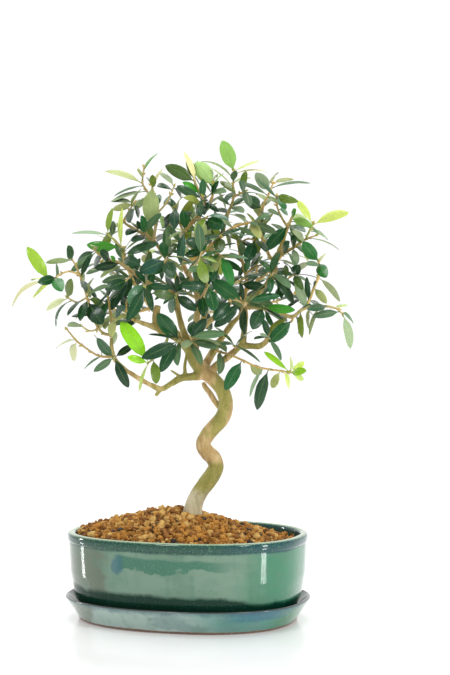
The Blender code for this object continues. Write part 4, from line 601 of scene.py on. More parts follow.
Branch("top_centre", [
    [
        (-4.5, 262.6, 0, 1.7), (-5, 271, 4, 1.6), (-3, 283, 5, 1.5), (2, 290, 3, 1.4),
        (8, 296.5, 0, 1.4), (14, 303, -2, 1.3), (18, 309.5, -3, 1.2), (19.3, 316, -3, 0.9),
        (19, 321, -3, 0.7),
    ],
    [(-3, 282, 5, 1.2), (-3, 284, -8, 1.0), (-2.5, 285, -22, 0.7)],
    [(-3, 284, 5, 1.1), (-8, 296, -6, 0.9), (-9, 303, -14, 0.7)],
    [(8, 297, 0, 1.1), (10, 305, -10, 0.9), (11, 311, -18, 0.7)],
    [(5, 293.5, 1.5, 1.1), (11, 294, -12, 0.9), (14, 295, -26, 0.7)],
    [(14, 303.5, -2, 1.0), (9, 314, -8, 0.8), (5.5, 322, -12, 0.7)],
], [
    (-2.5, 285, -5, 260.5, 6.4, "teal", 0), (-9, 302, -10, 286, 7.4, "teal_dark", -0.5),
    (-9, 300, -19.5, 287, 5.4, "dark", 0.6), (-5, 290, 3, 298.5, 3.8, "dark", -1),
    (-8, 299, -13, 309, 4.2, "green_dark", 0.8), (10, 309, 9, 297, 4.8, "deep", -1),
    (10, 306, -2.5, 310, 4.4, "olive_light", -0.7), (10.5, 310, -8.5, 319, 6.4, "grey_dark", -0.2),
    (12, 305, 8.5, 317, 5.2, "dark", 0.8), (13, 295, 27.5, 288, 10, "green_dark", -0.6),
    (13, 296.5, 31, 293.5, 2.8, "teal", -0.5, 0.14), (9, 293, 19, 286, 7.4, "grey_dark", 0.8),
    (17, 308, 12, 298, 4.6, "dark", -0.9), (18.5, 318, 6, 336.5, 12.5, "pale_green", 0),
    (10, 313, -4, 321.5, 5.2, "bright", -0.6), (12, 307, 23, 299, 5, "dark", -0.8),
    (18, 314, 8, 339, 5.2, "green", 0.3), (20, 317, 26, 328.5, 1.4, "lime", 0.8),
    (19, 317, 21, 327, 4.6, "olive", 0.9), (19.5, 314, 29, 314, 4.4, "grey", -0.9),
    (5.5, 321.5, -16.5, 334, 9.4, "olive_dark", 0), (5.5, 323, 0, 339.5, 6.4, "olive", 0.6),
    (5, 323, -3, 344, 4.4, "cream", 0.8), (4, 292, -6, 297, 4, "olive", 0.7),
])
Branch("top_right", [
    [
        (27, 284.5, -1, 1.2), (29, 294, 2, 1.2), (33, 305, 5, 1.1), (35, 313, 5, 1.0),
        (34, 320, 4, 0.9), (35, 326, 3, 0.8), (34.5, 330, 3, 0.7),
    ],
    [(34, 310, 5, 0.9), (39, 313, -3, 0.8), (43, 315, -10, 0.7)],
], [
    (34.5, 329, 26, 352.5, 11, "light_green", 0), (35, 329, 54, 338, 1.4, "pale_lime", 0.1),
    (34, 322, 10, 339, 1.4, "olive", 0.1, 0.14), (35, 328, 59, 329, 1.2, "cream", 0.3, 0.1),
    (37, 313, 24.5, 323, 5.2, "olive", 0.7), (43, 315, 38.5, 322, 5.4, "grey_dark", -0.9),
    (43, 315, 46.5, 303.5, 6.4, "mid_grey", -0.9), (33, 304, 22, 309, 3, "grey", -0.6),
    (33, 303, 42, 298, 5, "grey_pale", -0.9), (30, 297, 22, 301, 4.4, "dark", 0.9),
    (35, 314, 29, 307, 4, "grey_dark", -0.9), (34, 321, 47, 324, 2, "olive_light", 0.8),
])
Branch("far_top_right", [
    [
        (61.6, 265.5, 6.5, 1.5), (57.5, 276, 9, 1.4), (53.5, 289, 11, 1.3), (56.5, 303, 9, 1.1),
        (60.5, 312, 7, 1.0), (64, 320.5, 6, 0.7),
    ],
    [(55, 298, 10, 0.9), (55, 302, -2, 0.7)],
], [
    (61, 314, 51, 328.5, 9, "grey_pale", -0.4), (60, 312, 38, 321.5, 3.4, "grey", -0.3),
    (64, 320, 79.5, 324, 3.2, "olive_light", 0.6), (63, 317, 92, 320, 1.6, "grey", 0.1, 0.1),
    (55, 302, 44, 310.5, 9.4, "grey_dark", -0.7), (56, 301, 63, 309, 4.6, "olive", 0.9),
    (54, 292, 46, 284, 5.2, "dark", 0.9), (54, 293, 62, 300, 4.4, "grey_dark", 0.9),
    (58, 307, 51, 314, 4, "olive_light", 0.8), (55, 285, 60, 294, 5, "dark", 1),
    (54, 300, 60, 292, 4, "grey", -0.9), (64, 320, 67, 329, 3, "olive_light", 1),
])
Branch("right_high_a", [
    [(69.5, 271.5, 2, 1.8), (72, 279, -1, 1.6), (75.5, 289, -4, 1.4), (79, 297, -6, 0.9)],
    [(75, 288, -4, 1.1), (70, 296, -4, 0.9), (67, 304, -4, 0.8), (67, 311, -5, 0.7)],
], [
    (78, 294, 94, 289, 6.4, "light_green", -0.6), (77.5, 291, 98.5, 282, 2.8, "grey", -0.3, 0.14),
    (76.5, 288, 85, 276.5, 4.4, "olive", -0.8), (75, 289, 58, 270.5, 9, "green_dark", -0.4),
    (67, 311, 83, 307, 6.4, "olive_green", -0.6, 0.2), (67, 311, 73.5, 301.5, 5, "green", -0.9),
    (68, 302, 75, 298, 4.2, "green", 0.8), (79, 296, 81, 301, 3.4, "bright", -0.8),
    (77, 289, 88, 286, 3, "grey_dark", -0.9), (73, 283, 63, 290, 3.6, "grey", 0.8),
    (70, 296, 60, 300, 3, "grey", -0.8), (78, 293, 89, 296, 5.4, "pale_green", 0.8),
    (67, 305, 60, 311, 4, "olive", 0.8), (74, 285, 82, 277, 4, "grey_dark", 0.8),
])
Branch("right_high_b", [[
    (70, 267.5, 0, 1.6), (74, 269.5, -4, 1.5), (81, 273.5, -8, 1.2), (88.5, 278.7, -10, 0.9),
    (96, 281.5, -12, 0.6),
]], [
    (80, 272, 95, 263.5, 3.2, "grey", -0.6), (78, 272, 82, 260, 5, "grey_pale", -0.6),
    (79, 273, 81.5, 281, 4.8, "dark", -1), (91, 279.5, 114.5, 271.5, 1.2, "grey_pale", 0.1, 0.08),
    (80, 272.5, 90, 270, 3, "grey_dark", 0.9), (74, 268.5, 79, 258, 3.4, "grey", -0.9),
    (88, 278, 79, 285, 4.6, "grey_pale", -0.8), (72, 268, 76, 277, 5, "grey_dark", -1),
    (84, 275, 90, 266, 5, "olive_light", 1),
])
Branch("far_right_young", [[(89.5, 281, -10.5, 1.0), (92, 286, -13, 0.9), (94, 290, -15, 0.7)]], [
    (94, 289, 121, 300, 7.4, "pale_lime", 0), (93, 290, 82, 307.5, 5.5, "pale_lime", 0.3),
    (92, 286, 103, 281, 4, "grey_pale", 1),
], young=True)
Branch("right_inner", [[(64.5, 253, -0.5, 1.2), (63, 252, -12, 1.0), (62.5, 251.5, -22, 0.8)]], [
    (62, 251, 80.5, 230, 6.4, "grey_dark", 0), (64, 252, 77, 243, 5.4, "grey", -0.9),
    (61.5, 252, 55, 263, 4.6, "green", 0.9), (62, 250, 40, 249, 2, "grey_dark", -0.2),
])
Branch("right_grey", [[
    (67.8, 250, 2, 1.0), (72.5, 247.5, -6, 0.8), (77, 250.5, -14, 0.7), (81, 252.5, -20, 0.7),
]], [
    (81, 251, 88.5, 228, 7, "grey_pale", 0), (82, 252.5, 83.5, 259, 7.5, "dark", -1),
    (80, 252, 73, 262, 2, "grey", 0.9), (79, 251.5, 94, 245, 2.4, "grey_pale", 0.6),
    (73, 248, 76, 240, 4, "grey_pale", 0.9), (81, 253, 90, 262, 5.5, "cream", 0.9),
])
Branch("right_back_stem", [
    [
        (38.5, 219.5, 0.5, 1.6), (42, 232, 9, 1.6), (44.3, 246, 13, 1.6), (42.5, 257, 14, 1.5),
        (39.5, 267, 15, 1.3), (37.5, 278, 16, 1.1),
    ],
    [(44, 247, 13, 1.1), (41, 245.5, 2, 0.9), (39.5, 245, -8, 0.7)],
    [(43.5, 253, 13.5, 1.2), (50, 257.5, 13, 1.0), (55, 259.3, 12, 0.8)],
    [(38, 275, 15.5, 1.0), (45, 279, 6, 0.8), (50.5, 278, -2, 0.7)],
], [
    (50, 277.5, 43.5, 261.5, 9, "deep", -0.6), (37, 278, 50, 272, 3.8, "dark", -0.9),
    (53, 259.5, 61, 262, 5, "green", 1), (40, 245, 58, 243, 6.8, "dark", -0.4),
    (40, 246, 58.5, 254.5, 2, "grey_dark", -0.5), (50.5, 277, 59, 270, 4.4, "dark", -0.9),
    (51, 258, 55, 267, 4.6, "olive_green", 0.9), (41, 262, 32, 268, 4, "grey", 0.9),
    (38, 277, 29, 283, 4.2, "olive_dark", 0.9), (43, 237, 35, 243, 4.6, "mid", 0.9),
])
Branch("back_top", [
    [
        (12, 255.4, 36, 1.7), (8, 270, 38, 1.5), (6, 284, 37, 1.3), (10, 298, 35, 1.0),
        (13, 310, 33, 0.7),
    ],
    [(8, 268, 38, 1.1), (-6, 280, 42, 0.9), (-16, 293, 44, 0.7)],
    [(7, 276, 38, 1.1), (20, 287, 42, 0.9), (30, 299, 44, 0.7)],
])
Branch("back_left_high", [
    [(-29, 229.5, 30, 1.7), (-38, 242, 37, 1.5), (-45, 257, 42, 1.2), (-48, 272, 43, 0.8)],
    [(-40, 245, 38, 1.0), (-54, 252, 44, 0.8), (-64, 262, 46, 0.6)],
    [(-36, 239, 35, 1.0), (-30, 254, 48, 0.8), (-30, 268, 55, 0.6)],
])
Branch("back_left_low", [[
    (-29.5, 226.5, 30.5, 1.4), (-42, 224, 38, 1.2), (-55, 226, 43, 0.9), (-68, 230, 45, 0.7),
]])
Branch("back_right_high", [
    [(40.5, 237.3, 37.5, 1.6), (52, 247, 41, 1.5), (64, 258, 43, 1.2), (74, 271, 42, 0.8)],
    [(52, 247, 41, 1.1), (52, 262, 52, 0.9), (56, 278, 58, 0.7)],
])
Branch("back_right_low", [[
    (40, 234.5, 38, 1.4), (52, 232, 44, 1.2), (66, 232, 48, 0.9), (80, 238, 50, 0.7),
]])
Branch("deep_back_left", [[
    (8.5, 233.5, 44, 1.5), (-4, 240, 56, 1.3), (-18, 246, 66, 1.0), (-34, 254, 72, 0.7),
]])
Branch("deep_back_right", [[
    (11.8, 233.5, 44, 1.5), (24, 241, 57, 1.3), (40, 248, 67, 0.9), (54, 256, 71, 0.7),
]])
Branch("deep_back_up", [[
    (10.5, 235, 44, 1.5), (10, 250, 58, 1.3), (8, 266, 66, 0.9), (6, 282, 68, 0.7),
]])
Branch("deep_back_low", [[
    (10.5, 229.5, 44, 1.4), (12, 226, 58, 1.2), (18, 224, 72, 0.9), (26, 228, 82, 0.7),
]])
Branch("front_high", [[
    (1.5, 253, -4.8, 1.3), (4, 258, -22, 1.1), (8, 262, -42, 0.9), (10, 268, -58, 0.7),
]])


class Value:
    """A socket in a shader that takes part in plain expressions."""

    def __init__(self, paint, socket):
        self.paint = paint
        self.socket = socket

    def math(self, operation, first, second=0.0):
        """One Math node; every operator below is made of it."""
        return self.paint.node("Math", {"operation": operation}, {0: first, 1: second})

    def __add__(self, other):
        return self.math("ADD", self, other)

    def __radd__(self, other):
        return self.math("ADD", other, self)

    def __sub__(self, other):
        return self.math("SUBTRACT", self, other)

    def __rsub__(self, other):
        return self.math("SUBTRACT", other, self)

    def __mul__(self, other):
        return self.math("MULTIPLY", self, other)

    def __rmul__(self, other):
        return self.math("MULTIPLY", other, self)

    def __pow__(self, other):
        return self.math("POWER", self, other)

    def __abs__(self):
        return self.math("ABSOLUTE", self)

    def sway(self, reach):
        """Noise moved so that it swings evenly about zero, by this much in all."""
        return (self - 0.5) * reach


class Paint:
    """A material in the making, with its shader's nodes and the colour of its skin so far."""

    def __init__(self, name):
        self.material = bpy.data.materials.new(name)
        self.material.use_nodes = True
        self.tree = self.material.node_tree
        self.shader = self.tree.nodes["Principled BSDF"]
        self.place = self.node("TexCoord", output="Object")
        self.skin = None

    def node(self, kind, settings=None, inputs=None, output=0):
        """One node: its type, its settings, and the values or links of its sockets."""
        made = self.tree.nodes.new("ShaderNode" + kind)
        for key, value in (settings or {}).items():
            setattr(made, key, value)
        for key, value in (inputs or {}).items():
            self.feed(made.inputs[key], value)
        return Value(self, made.outputs[output])

    def feed(self, socket, value):
        """Link a value to a socket, or set it there."""
        if isinstance(value, Value):
            self.tree.links.new(value.socket, socket)
        elif isinstance(value, tuple) and socket.type == "RGBA":
            socket.default_value = linear(value)
        else:
            socket.default_value = value

    def mix(self, share, first, second):
        """A colour between two, as the eye sees them."""
        return self.node("Mix", {"data_type": "RGBA"}, {0: share, 6: first, 7: second}, 2)

    def coat(self, share, colour):
        """Lay a colour over the skin so far, by a share."""
        self.skin = self.mix(share, self.skin, colour)

    def step(self, value, low, high):
        """0 below low, 1 above high, and smooth between."""
        settings = {"interpolation_type": "SMOOTHSTEP"}
        return self.node("MapRange", settings, {0: value, 1: low, 2: high, 3: 0.0, 4: 1.0})

    def below(self, value, low, high):
        """1 below low, 0 above high, and smooth between."""
        return 1.0 - self.step(value, low, high)

    def noise(self, size, detail=3.0, stretch=(1.0, 1.0, 1.0)):
        """Cloudy noise whose blotches are about this many metres across."""
        scaled = self.node("Mapping", None, {0: self.place, 3: stretch})
        inputs = {"Vector": scaled, "Scale": 1.0 / size, "Detail": detail, "Roughness": 0.55}
        return self.node("TexNoise", None, inputs)

    def cells(self, size):
        """How far each place is from the middle of its cell; cells are this many metres across."""
        return self.node("TexVoronoi", None, {"Vector": self.place, "Scale": 1.0 / size})

    def axis(self, name, place=None):
        """One coordinate of the place, in metres, or of another one."""
        return self.node("SeparateXYZ", None, {0: place or self.place}, name)

    def front_axes(self):
        """Height above the ground, and distance to the right in the front view."""
        return self.axis("Z"), self.axis("X") * RIGHT.x + self.axis("Y") * RIGHT.y

    def tone(self, layer):
        """The colour that a piece stores on its points."""
        return self.node("VertexColor", {"layer_name": layer})

    def finish(self, roughness, relief, depth, **constants):
        """Link the skin, the roughness and the relief, and set what is the same all over."""
        self.feed(self.shader.inputs["Base Color"], self.skin)
        self.feed(self.shader.inputs["Roughness"], roughness)
        if relief is not None:
            bump = self.node("Bump", None, {"Height": relief, "Strength": 1.0, "Distance": depth})
            self.feed(self.shader.inputs["Normal"], bump)
        for key, value in constants.items():
            self.shader.inputs[key.replace("_", " ")].default_value = value
        return self.material


def linear(colour):
    """A colour of 0 to 255, as the eye sees it, in the shader's own measure."""
    shares = [c / 255.0 for c in colour[:3]]
    return (*[s / 12.92 if s <= 0.04045 else ((s + 0.055) / 1.055) ** 2.4 for s in shares], 1.0)


def pot_glaze():
    """Mottled green glaze: pale on the lip, partly as a painted highlight, blue under it and dark
    where it pools low.
    """
    paint = Paint("pot_glaze")
    height, right = paint.front_axes()
    cloud = paint.noise(0.045, 4.0, (1.0, 1.0, 1.6))
    streak = paint.noise(0.012, 4.0, (1.0, 1.0, 0.16))
    blotch = paint.noise(0.016, 5.0, (0.6, 0.6, 1.0))
    grain = paint.noise(0.0010)
    # The wall: grey green, clearer green at the right, browner at the left as a painted reflection,
    # with runs in it
    greener = paint.step(right + cloud.sway(0.06), 0.026, 0.074)
    paint.skin = paint.mix(greener, (118, 148, 128), (64, 132, 100))
    # Painted reflection: a brownish grey laid over the left end of the wall
    painted_reflection = paint.below(right + blotch.sway(0.03), -0.064, -0.052)
    paint.coat(painted_reflection * 0.8, (92, 102, 84))
    paint.coat(paint.step(blotch, 0.45, 0.62) * 0.40, (84, 124, 102))
    paint.coat(paint.step(streak, 0.52, 0.70) * 0.30, (46, 112, 80))
    # A ragged dark green band high on the front, and a blue spot where it starts
    foot = height + blotch.sway(0.020) - streak.sway(0.010) - right * 0.05
    head = height + cloud.sway(0.008) + right * 0.04
    band = paint.step(foot, *POT_BAND_FOOT) * paint.below(head, *POT_BAND_HEAD)
    band = band * paint.step(right, -0.052, -0.046)
    band = band * paint.below(right + cloud * 0.02, 0.020, 0.046)
    dark_green = paint.mix(paint.step(grain, 0.46, 0.60) * 0.5, (40, 108, 84), (66, 124, 98))
    paint.coat(band * 0.85, dark_green)
    spot_right, spot_up = POT_SPOT
    far = (((right - spot_right) * 2.1) ** 2.0 + (height - spot_up) ** 2.0) ** 0.5
    spot = paint.below(far + blotch.sway(0.030) + streak.sway(0.012), *POT_SPOT_EDGE)
    paint.coat(spot * 0.70, (46, 102, 116))
    # Glaze pooled at the foot
    pool_top = POT_POOL - paint.step(right, 0.010, 0.070) * 0.0070
    low = height + blotch.sway(0.007) + streak.sway(0.004) - pool_top
    pooled = paint.below(low, *POT_POOL_EDGE)
    deep_green = paint.mix(paint.step(grain, 0.52, 0.66) * 0.4, (3, 50, 38), (16, 74, 54))
    paint.coat(pooled * 0.96, deep_green)
    # Speckled blue green under the lip, and a pale edge on it that is partly a painted highlight
    bluer = paint.step(right + streak.sway(0.04), 0.000, 0.060)
    blue = paint.mix(bluer, (20, 66, 58), (14, 64, 80))
    blue = paint.mix(paint.step(grain, 0.50, 0.60) * 0.8, blue, (58, 112, 84))
    paint.coat(paint.step(height + blotch.sway(0.004), *POT_UNDER_LIP) * 0.92, blue)
    # Painted highlight, partly pale glaze, along the top of the rim
    paint.coat(paint.step(height + grain.sway(0.0014), *POT_PALE_EDGE_AND_HIGHLIGHT) * 0.85, (168, 196, 156))
    # Pits and fine pale speckles
    paint.coat(paint.below(paint.cells(0.0075), 0.035, 0.060) * 0.7, (16, 34, 28))
    paint.coat(paint.step(grain, 0.60, 0.74) * 0.22, (140, 168, 142))
    rough = 0.07 + paint.step(cloud, 0.3, 0.7) * 0.06 + paint.step(grain, 0.5, 0.7) * 0.04
    relief = paint.noise(0.010, 2.0) * 0.6 + grain * 0.08
    paint.feed(paint.shader.inputs["Coat Weight"], 0.85 - pooled * 0.60)
    return paint.finish(rough, relief, 0.00030, Coat_Roughness=0.04, Specular_IOR_Level=0.05)


def tray_glaze():
    """Grey-blue glaze with teal and green runs, a dark thin rim and a bare brown foot."""
    paint = Paint("tray_glaze")
    height, right = paint.front_axes()
    cloud = paint.noise(0.040, 4.0, (1.0, 1.0, 2.0))
    blotch = paint.noise(0.014, 5.0, (0.6, 0.6, 1.0))
    streak = paint.noise(0.010, 4.0, (1.0, 1.0, 0.3))
    grain = paint.noise(0.0016)
    # The wall: grey blue, teal from the middle, green at the right end and browner at the left
    teal = paint.step(right + cloud.sway(0.06), -0.010, 0.040)
    paint.skin = paint.mix(teal, (158, 180, 172), (84, 144, 130))
    paint.coat(paint.step(right + cloud.sway(0.04), 0.052, 0.076), (52, 124, 82))
    paint.coat(paint.below(right + blotch.sway(0.02), -0.072, -0.066) * 0.8, (96, 110, 90))
    paint.coat(paint.step(blotch, 0.50, 0.62) * 0.50, (104, 136, 132))
    paint.coat(paint.step(streak, 0.50, 0.70) * 0.30, (78, 122, 98))
    # A blue cloud at the right, a darker line under the rim and a brown rim
    bluer = paint.step(right + streak.sway(0.03), 0.022, 0.045) * paint.below(right, 0.060, 0.085)
    bluer = bluer * paint.step(height + blotch.sway(0.010), 0.0085, 0.0115)
    paint.coat(bluer * 0.70, (36, 100, 128))
    paint.coat(paint.step(height + streak.sway(0.006), *TRAY_UNDER_RIM) * 0.65, (44, 88, 104))
    paint.coat(paint.step(height + grain.sway(0.0010), *TRAY_RIM) * 0.85, (64, 56, 48))
    # Bare clay at the foot, and fine pale speckles
    clay = paint.mix(paint.step(grain, 0.4, 0.6), (104, 76, 58), (130, 98, 76))
    bare = paint.below(height + cloud.sway(0.0016) + grain.sway(0.0006), *TRAY_BARE)
    paint.coat(bare, clay)
    paint.coat(paint.step(grain, 0.60, 0.74) * 0.22, (146, 172, 158))
    rough = 0.09 + paint.step(cloud, 0.3, 0.7) * 0.08 + bare * 0.6
    relief = paint.noise(0.010, 2.0) * 0.6 + grain * 0.10
    return paint.finish(rough, relief, 0.00030, Coat_Weight=0.4, Coat_Roughness=0.06)


def bark():
    """Smooth bark: olive skin over tan, pale and grey near the soil, finely speckled."""
    paint = Paint("bark")
    height = paint.axis("Z")
    cloud = paint.noise(0.020, 4.0, (1.0, 1.0, 0.5))
    streak = paint.noise(0.0040, 4.0, (1.0, 1.0, 0.25))
    grain = paint.noise(0.0009)
    olive = paint.mix(paint.step(streak, 0.35, 0.65), (142, 138, 58), (168, 160, 84))
    tan = paint.mix(paint.step(streak, 0.40, 0.62), (186, 152, 96), (220, 192, 140))
    grey = paint.mix(paint.step(streak, 0.4, 0.6), (186, 176, 144), (220, 210, 180))
    paint.skin = paint.mix(paint.step(cloud, 0.38, 0.52), tan, olive)
    level = height + cloud.sway(0.024)
    bend_foot, bend_head = BARK_BEND
    paint.coat(paint.step(level, *bend_foot) * paint.below(level, *bend_head) * 0.85, tan)
    paint.coat(paint.below(level, *BARK_FOOT) * 0.85, grey)
    paint.coat(paint.step(level, *BARK_HIGH) * 0.4, tan)
    specks = paint.below(paint.cells(0.0016), 0.16, 0.30)
    paint.coat(specks * paint.step(cloud, 0.35, 0.60) * 0.55, (112, 78, 48))
    paint.coat(paint.step(grain, 0.55, 0.70) * 0.35, (214, 196, 158))
    rough = 0.62 + paint.step(streak, 0.3, 0.7) * 0.2
    relief = streak * 0.8 + grain * 0.4 + specks * 0.3
    return paint.finish(rough, relief, 0.0004, Sheen_Weight=0.5, Sheen_Roughness=0.35)


def twig_bark():
    """Thin bark on the stems, each stem in its own tone."""
    paint = Paint("twig_bark")
    streak = paint.noise(0.0020, 3.0, (1.0, 1.0, 0.5))
    grain = paint.noise(0.0006, 2.0)
    paint.skin = paint.tone("upper_tone")
    paint.coat(paint.step(streak, 0.4, 0.7) * 0.3, (156, 126, 64))
    paint.coat(paint.step(grain, 0.55, 0.7) * 0.3, (214, 186, 140))
    relief = streak + grain * 0.5
    return paint.finish(0.65 + streak * 0.2, relief, 0.0002, Sheen_Weight=0.4, Sheen_Roughness=0.35)


def leaf_face(name, layer, *, gloss, coat, vein_colour, vein_share, depth):
    """One face of the leaves: a pale rib, side veins, a lighter margin and faint mottling."""
    paint = Paint(name)
    flat = paint.node("UVMap", {"uv_map": "blade"})
    off = abs(paint.axis("X", flat) - 0.5) * 2.0
    along = paint.axis("Y", flat)
    rib = paint.below(off + along * 0.05, 0.03, 0.13)
    turns = (along * 9.0 - off * 2.2) * 6.283
    veins = paint.step(turns.math("SINE", turns), 0.80, 0.98) * paint.below(off, 0.75, 0.95)
    mottle = paint.noise(0.0032, 4.0)
    fine = paint.noise(0.0007, 2.0)
    lightness = {0: paint.tone(layer), 3: 0.86 + mottle * 0.28}
    paint.skin = paint.node("VectorMath", {"operation": "SCALE"}, lightness)
    paint.coat(rib * vein_share, vein_colour)
    paint.coat(veins * vein_share * 0.25, vein_colour)
    paint.coat(paint.step(off, 0.86, 1.0) * 0.22, vein_colour)
    paint.coat(paint.step(fine, 0.62, 0.74) * 0.10, (220, 220, 180))
    relief = rib * -0.5 + veins * -0.25 + mottle * 0.35 + fine * 0.10
    rough = gloss + paint.step(mottle, 0.35, 0.7) * 0.14
    constants = {"Coat_Weight": coat, "Coat_Roughness": 0.10, "Specular_IOR_Level": 0.32}
    return paint.finish(rough, relief, depth, **constants)


def granule_clay(name, dark, middle, light):
    """Dry porous clay: dusty and pitted."""
    paint = Paint(name)
    cloud = paint.noise(0.0060)
    grain = paint.noise(0.0011, 4.0)
    paint.skin = paint.mix(paint.step(cloud, 0.35, 0.62), dark, middle)
    paint.coat(paint.step(grain, 0.50, 0.70) * 0.7, light)
    return paint.finish(0.95, grain + cloud * 0.4, 0.0006)


def screen_plastic():
    """Moulded black plastic."""
    paint = Paint("screen_plastic")
    grain = paint.noise(0.0008, 2.0)
    paint.skin = paint.mix(grain, (16, 16, 17), (34, 34, 36))
    return paint.finish(0.5 + grain * 0.2, grain, 0.0001)


def floor_white():
    """White studio board with a faint satin sheen."""
    paint = Paint("studio_white")
    cloud = paint.noise(0.3, 2.0)
    paint.skin = paint.mix(cloud, (246, 246, 246), (250, 250, 250))
    glow = {"Emission_Color": linear(WHITE), "Emission_Strength": 0.16}
    return paint.finish(0.10 + cloud * 0.05, None, 0.0, **glow)


class Heap:
    """Points, faces, tones and face places gathered for one piece."""

    def __init__(self):
        self.points, self.faces, self.kinds = [], [], []
        self.upper, self.under, self.places = [], [], []

    def add(self, points, faces, upper, under=None, places=None, kinds=None):
        """Add one closed shape in its tones."""
        start = len(self.points)
        self.points += [tuple(p) for p in points]
        self.faces += [tuple(start + i for i in face) for face in faces]
        self.kinds += kinds or [0] * len(faces)
        self.upper += [upper] * len(points)
        self.under += [under or upper] * len(points)
        self.places += places or [(0.5, 0.5)] * len(points)

    def build(self, name, materials):
        """The piece, with its tones and places stored on its points."""
        made = new_object(name, self.points, self.faces, materials)
        mesh = made.data
        mesh.polygons.foreach_set("material_index", self.kinds)
        for layer, tones in (("upper_tone", self.upper), ("under_tone", self.under)):
            store = mesh.color_attributes.new(layer, "FLOAT_COLOR", "POINT")
            store.data.foreach_set("color", [c for tone in tones for c in linear(tone)])
        flat = mesh.uv_layers.new(name="blade")
        corners = [self.places[loop.vertex_index] for loop in mesh.loops]
        flat.data.foreach_set("uv", [c for corner in corners for c in corner])
        mesh.validate()
        return made


def stand(name, data):
    """A new object in the scene."""
    made = bpy.data.objects.new(name, data)
    bpy.context.scene.collection.objects.link(made)
    return made


def new_object(name, points, faces, materials):
    """A new object from points in metres and faces that list them."""
    mesh = bpy.data.meshes.new(name)
    mesh.from_pydata([tuple(p) for p in points], [], faces)
    for material in materials:
        mesh.materials.append(material)
    return stand(name, mesh)


def piece(made, node, turn):
    """Finish a piece that stands for a node; edges that turn more than these degrees stay sharp."""
    made.data.shade_smooth()
    made.data.set_sharp_from_angle(angle=math.radians(turn))
    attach(made, "root")
    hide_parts(node)


def face_outward(mesh):
    """Turn every face of a closed mesh outward."""
    shape = bmesh.new()
    shape.from_mesh(mesh)
    bmesh.ops.recalc_face_normals(shape, faces=shape.faces)
    shape.to_mesh(mesh)
    shape.free()


def baked(made):
    """Apply an object's modifiers to its mesh."""
    graph = bpy.context.evaluated_depsgraph_get()
    mesh = bpy.data.meshes.new_from_object(made.evaluated_get(graph))
    made.modifiers.clear()
    made.data = mesh


def oval(half_x, half_y, inset, height, sides=POT_SIDES):
    """One ring of the pot's oval, drawn in by an inset."""
    ring = []
    power = 2.0 / OVAL_POWER
    for side in range(sides):
        angle = math.tau * side / sides
        c, s = math.cos(angle), math.sin(angle)
        x = math.copysign(abs(c) ** power, c) * (half_x - inset)
        y = math.copysign(abs(s) ** power, s) * (half_y - inset)
        ring.append(Vector((x, y, height)))
    return ring


def ellipse(x, y, half_x, half_y, height):
    """One ring of a foot or a drain hole."""
    turns = [math.tau * k / ROUND_SIDES for k in range(ROUND_SIDES)]
    return [Vector((x + math.cos(a) * half_x, y + math.sin(a) * half_y, height)) for a in turns]


def rounded(profile, reach, steps=5):
    """A profile with each corner eased by a short curve that starts this far from it."""
    eased = [profile[0]]
    for before, corner, after in zip(profile, profile[1:], profile[2:]):
        corner = Vector(corner)
        back, ahead = Vector(before) - corner, Vector(after) - corner
        start = corner + back * min(0.45, reach / back.length)
        end = corner + ahead * min(0.45, reach / ahead.length)
        for step in range(steps + 1):
            t = step / steps
            eased.append(tuple(start * (1 - t) ** 2 + corner * 2 * t * (1 - t) + end * t ** 2))
    return eased + [profile[-1]]


def walls(count, rings):
    """Faces between rings of points that follow one another."""
    faces = []
    for level in range(rings - 1):
        for side in range(count):
            a = level * count + side
            b = level * count + (side + 1) % count
            faces.append((a, b, b + count, a + count))
    return faces


def loft(name, rings, material):
    """A closed body through rings of equal count, with a flat cap at each end."""
    count = len(rings[0])
    caps = [tuple(range(count)), tuple(range((len(rings) - 1) * count, len(rings) * count))]
    points = [p for ring in rings for p in ring]
    made = new_object(name, points, walls(count, len(rings)) + caps, [material])
    face_outward(made.data)
    return made


def pot_bottom():
    """The height of the pot's underside: it stands on its feet on the tray's floor."""
    return TRAY_FLOOR + GAP + FOOT_TALL


def hand_made(made, depth):
    """A faint unevenness, as a pressed clay wall has."""
    for vertex in made.data.vertices:
        place = vertex.co
        out = Vector((place.x, place.y, 0.0)).normalized()
        spot = Vector([place[k] * UNEVEN_SCALE[k] for k in range(3)])
        vertex.co += out * noise.noise(spot) * depth


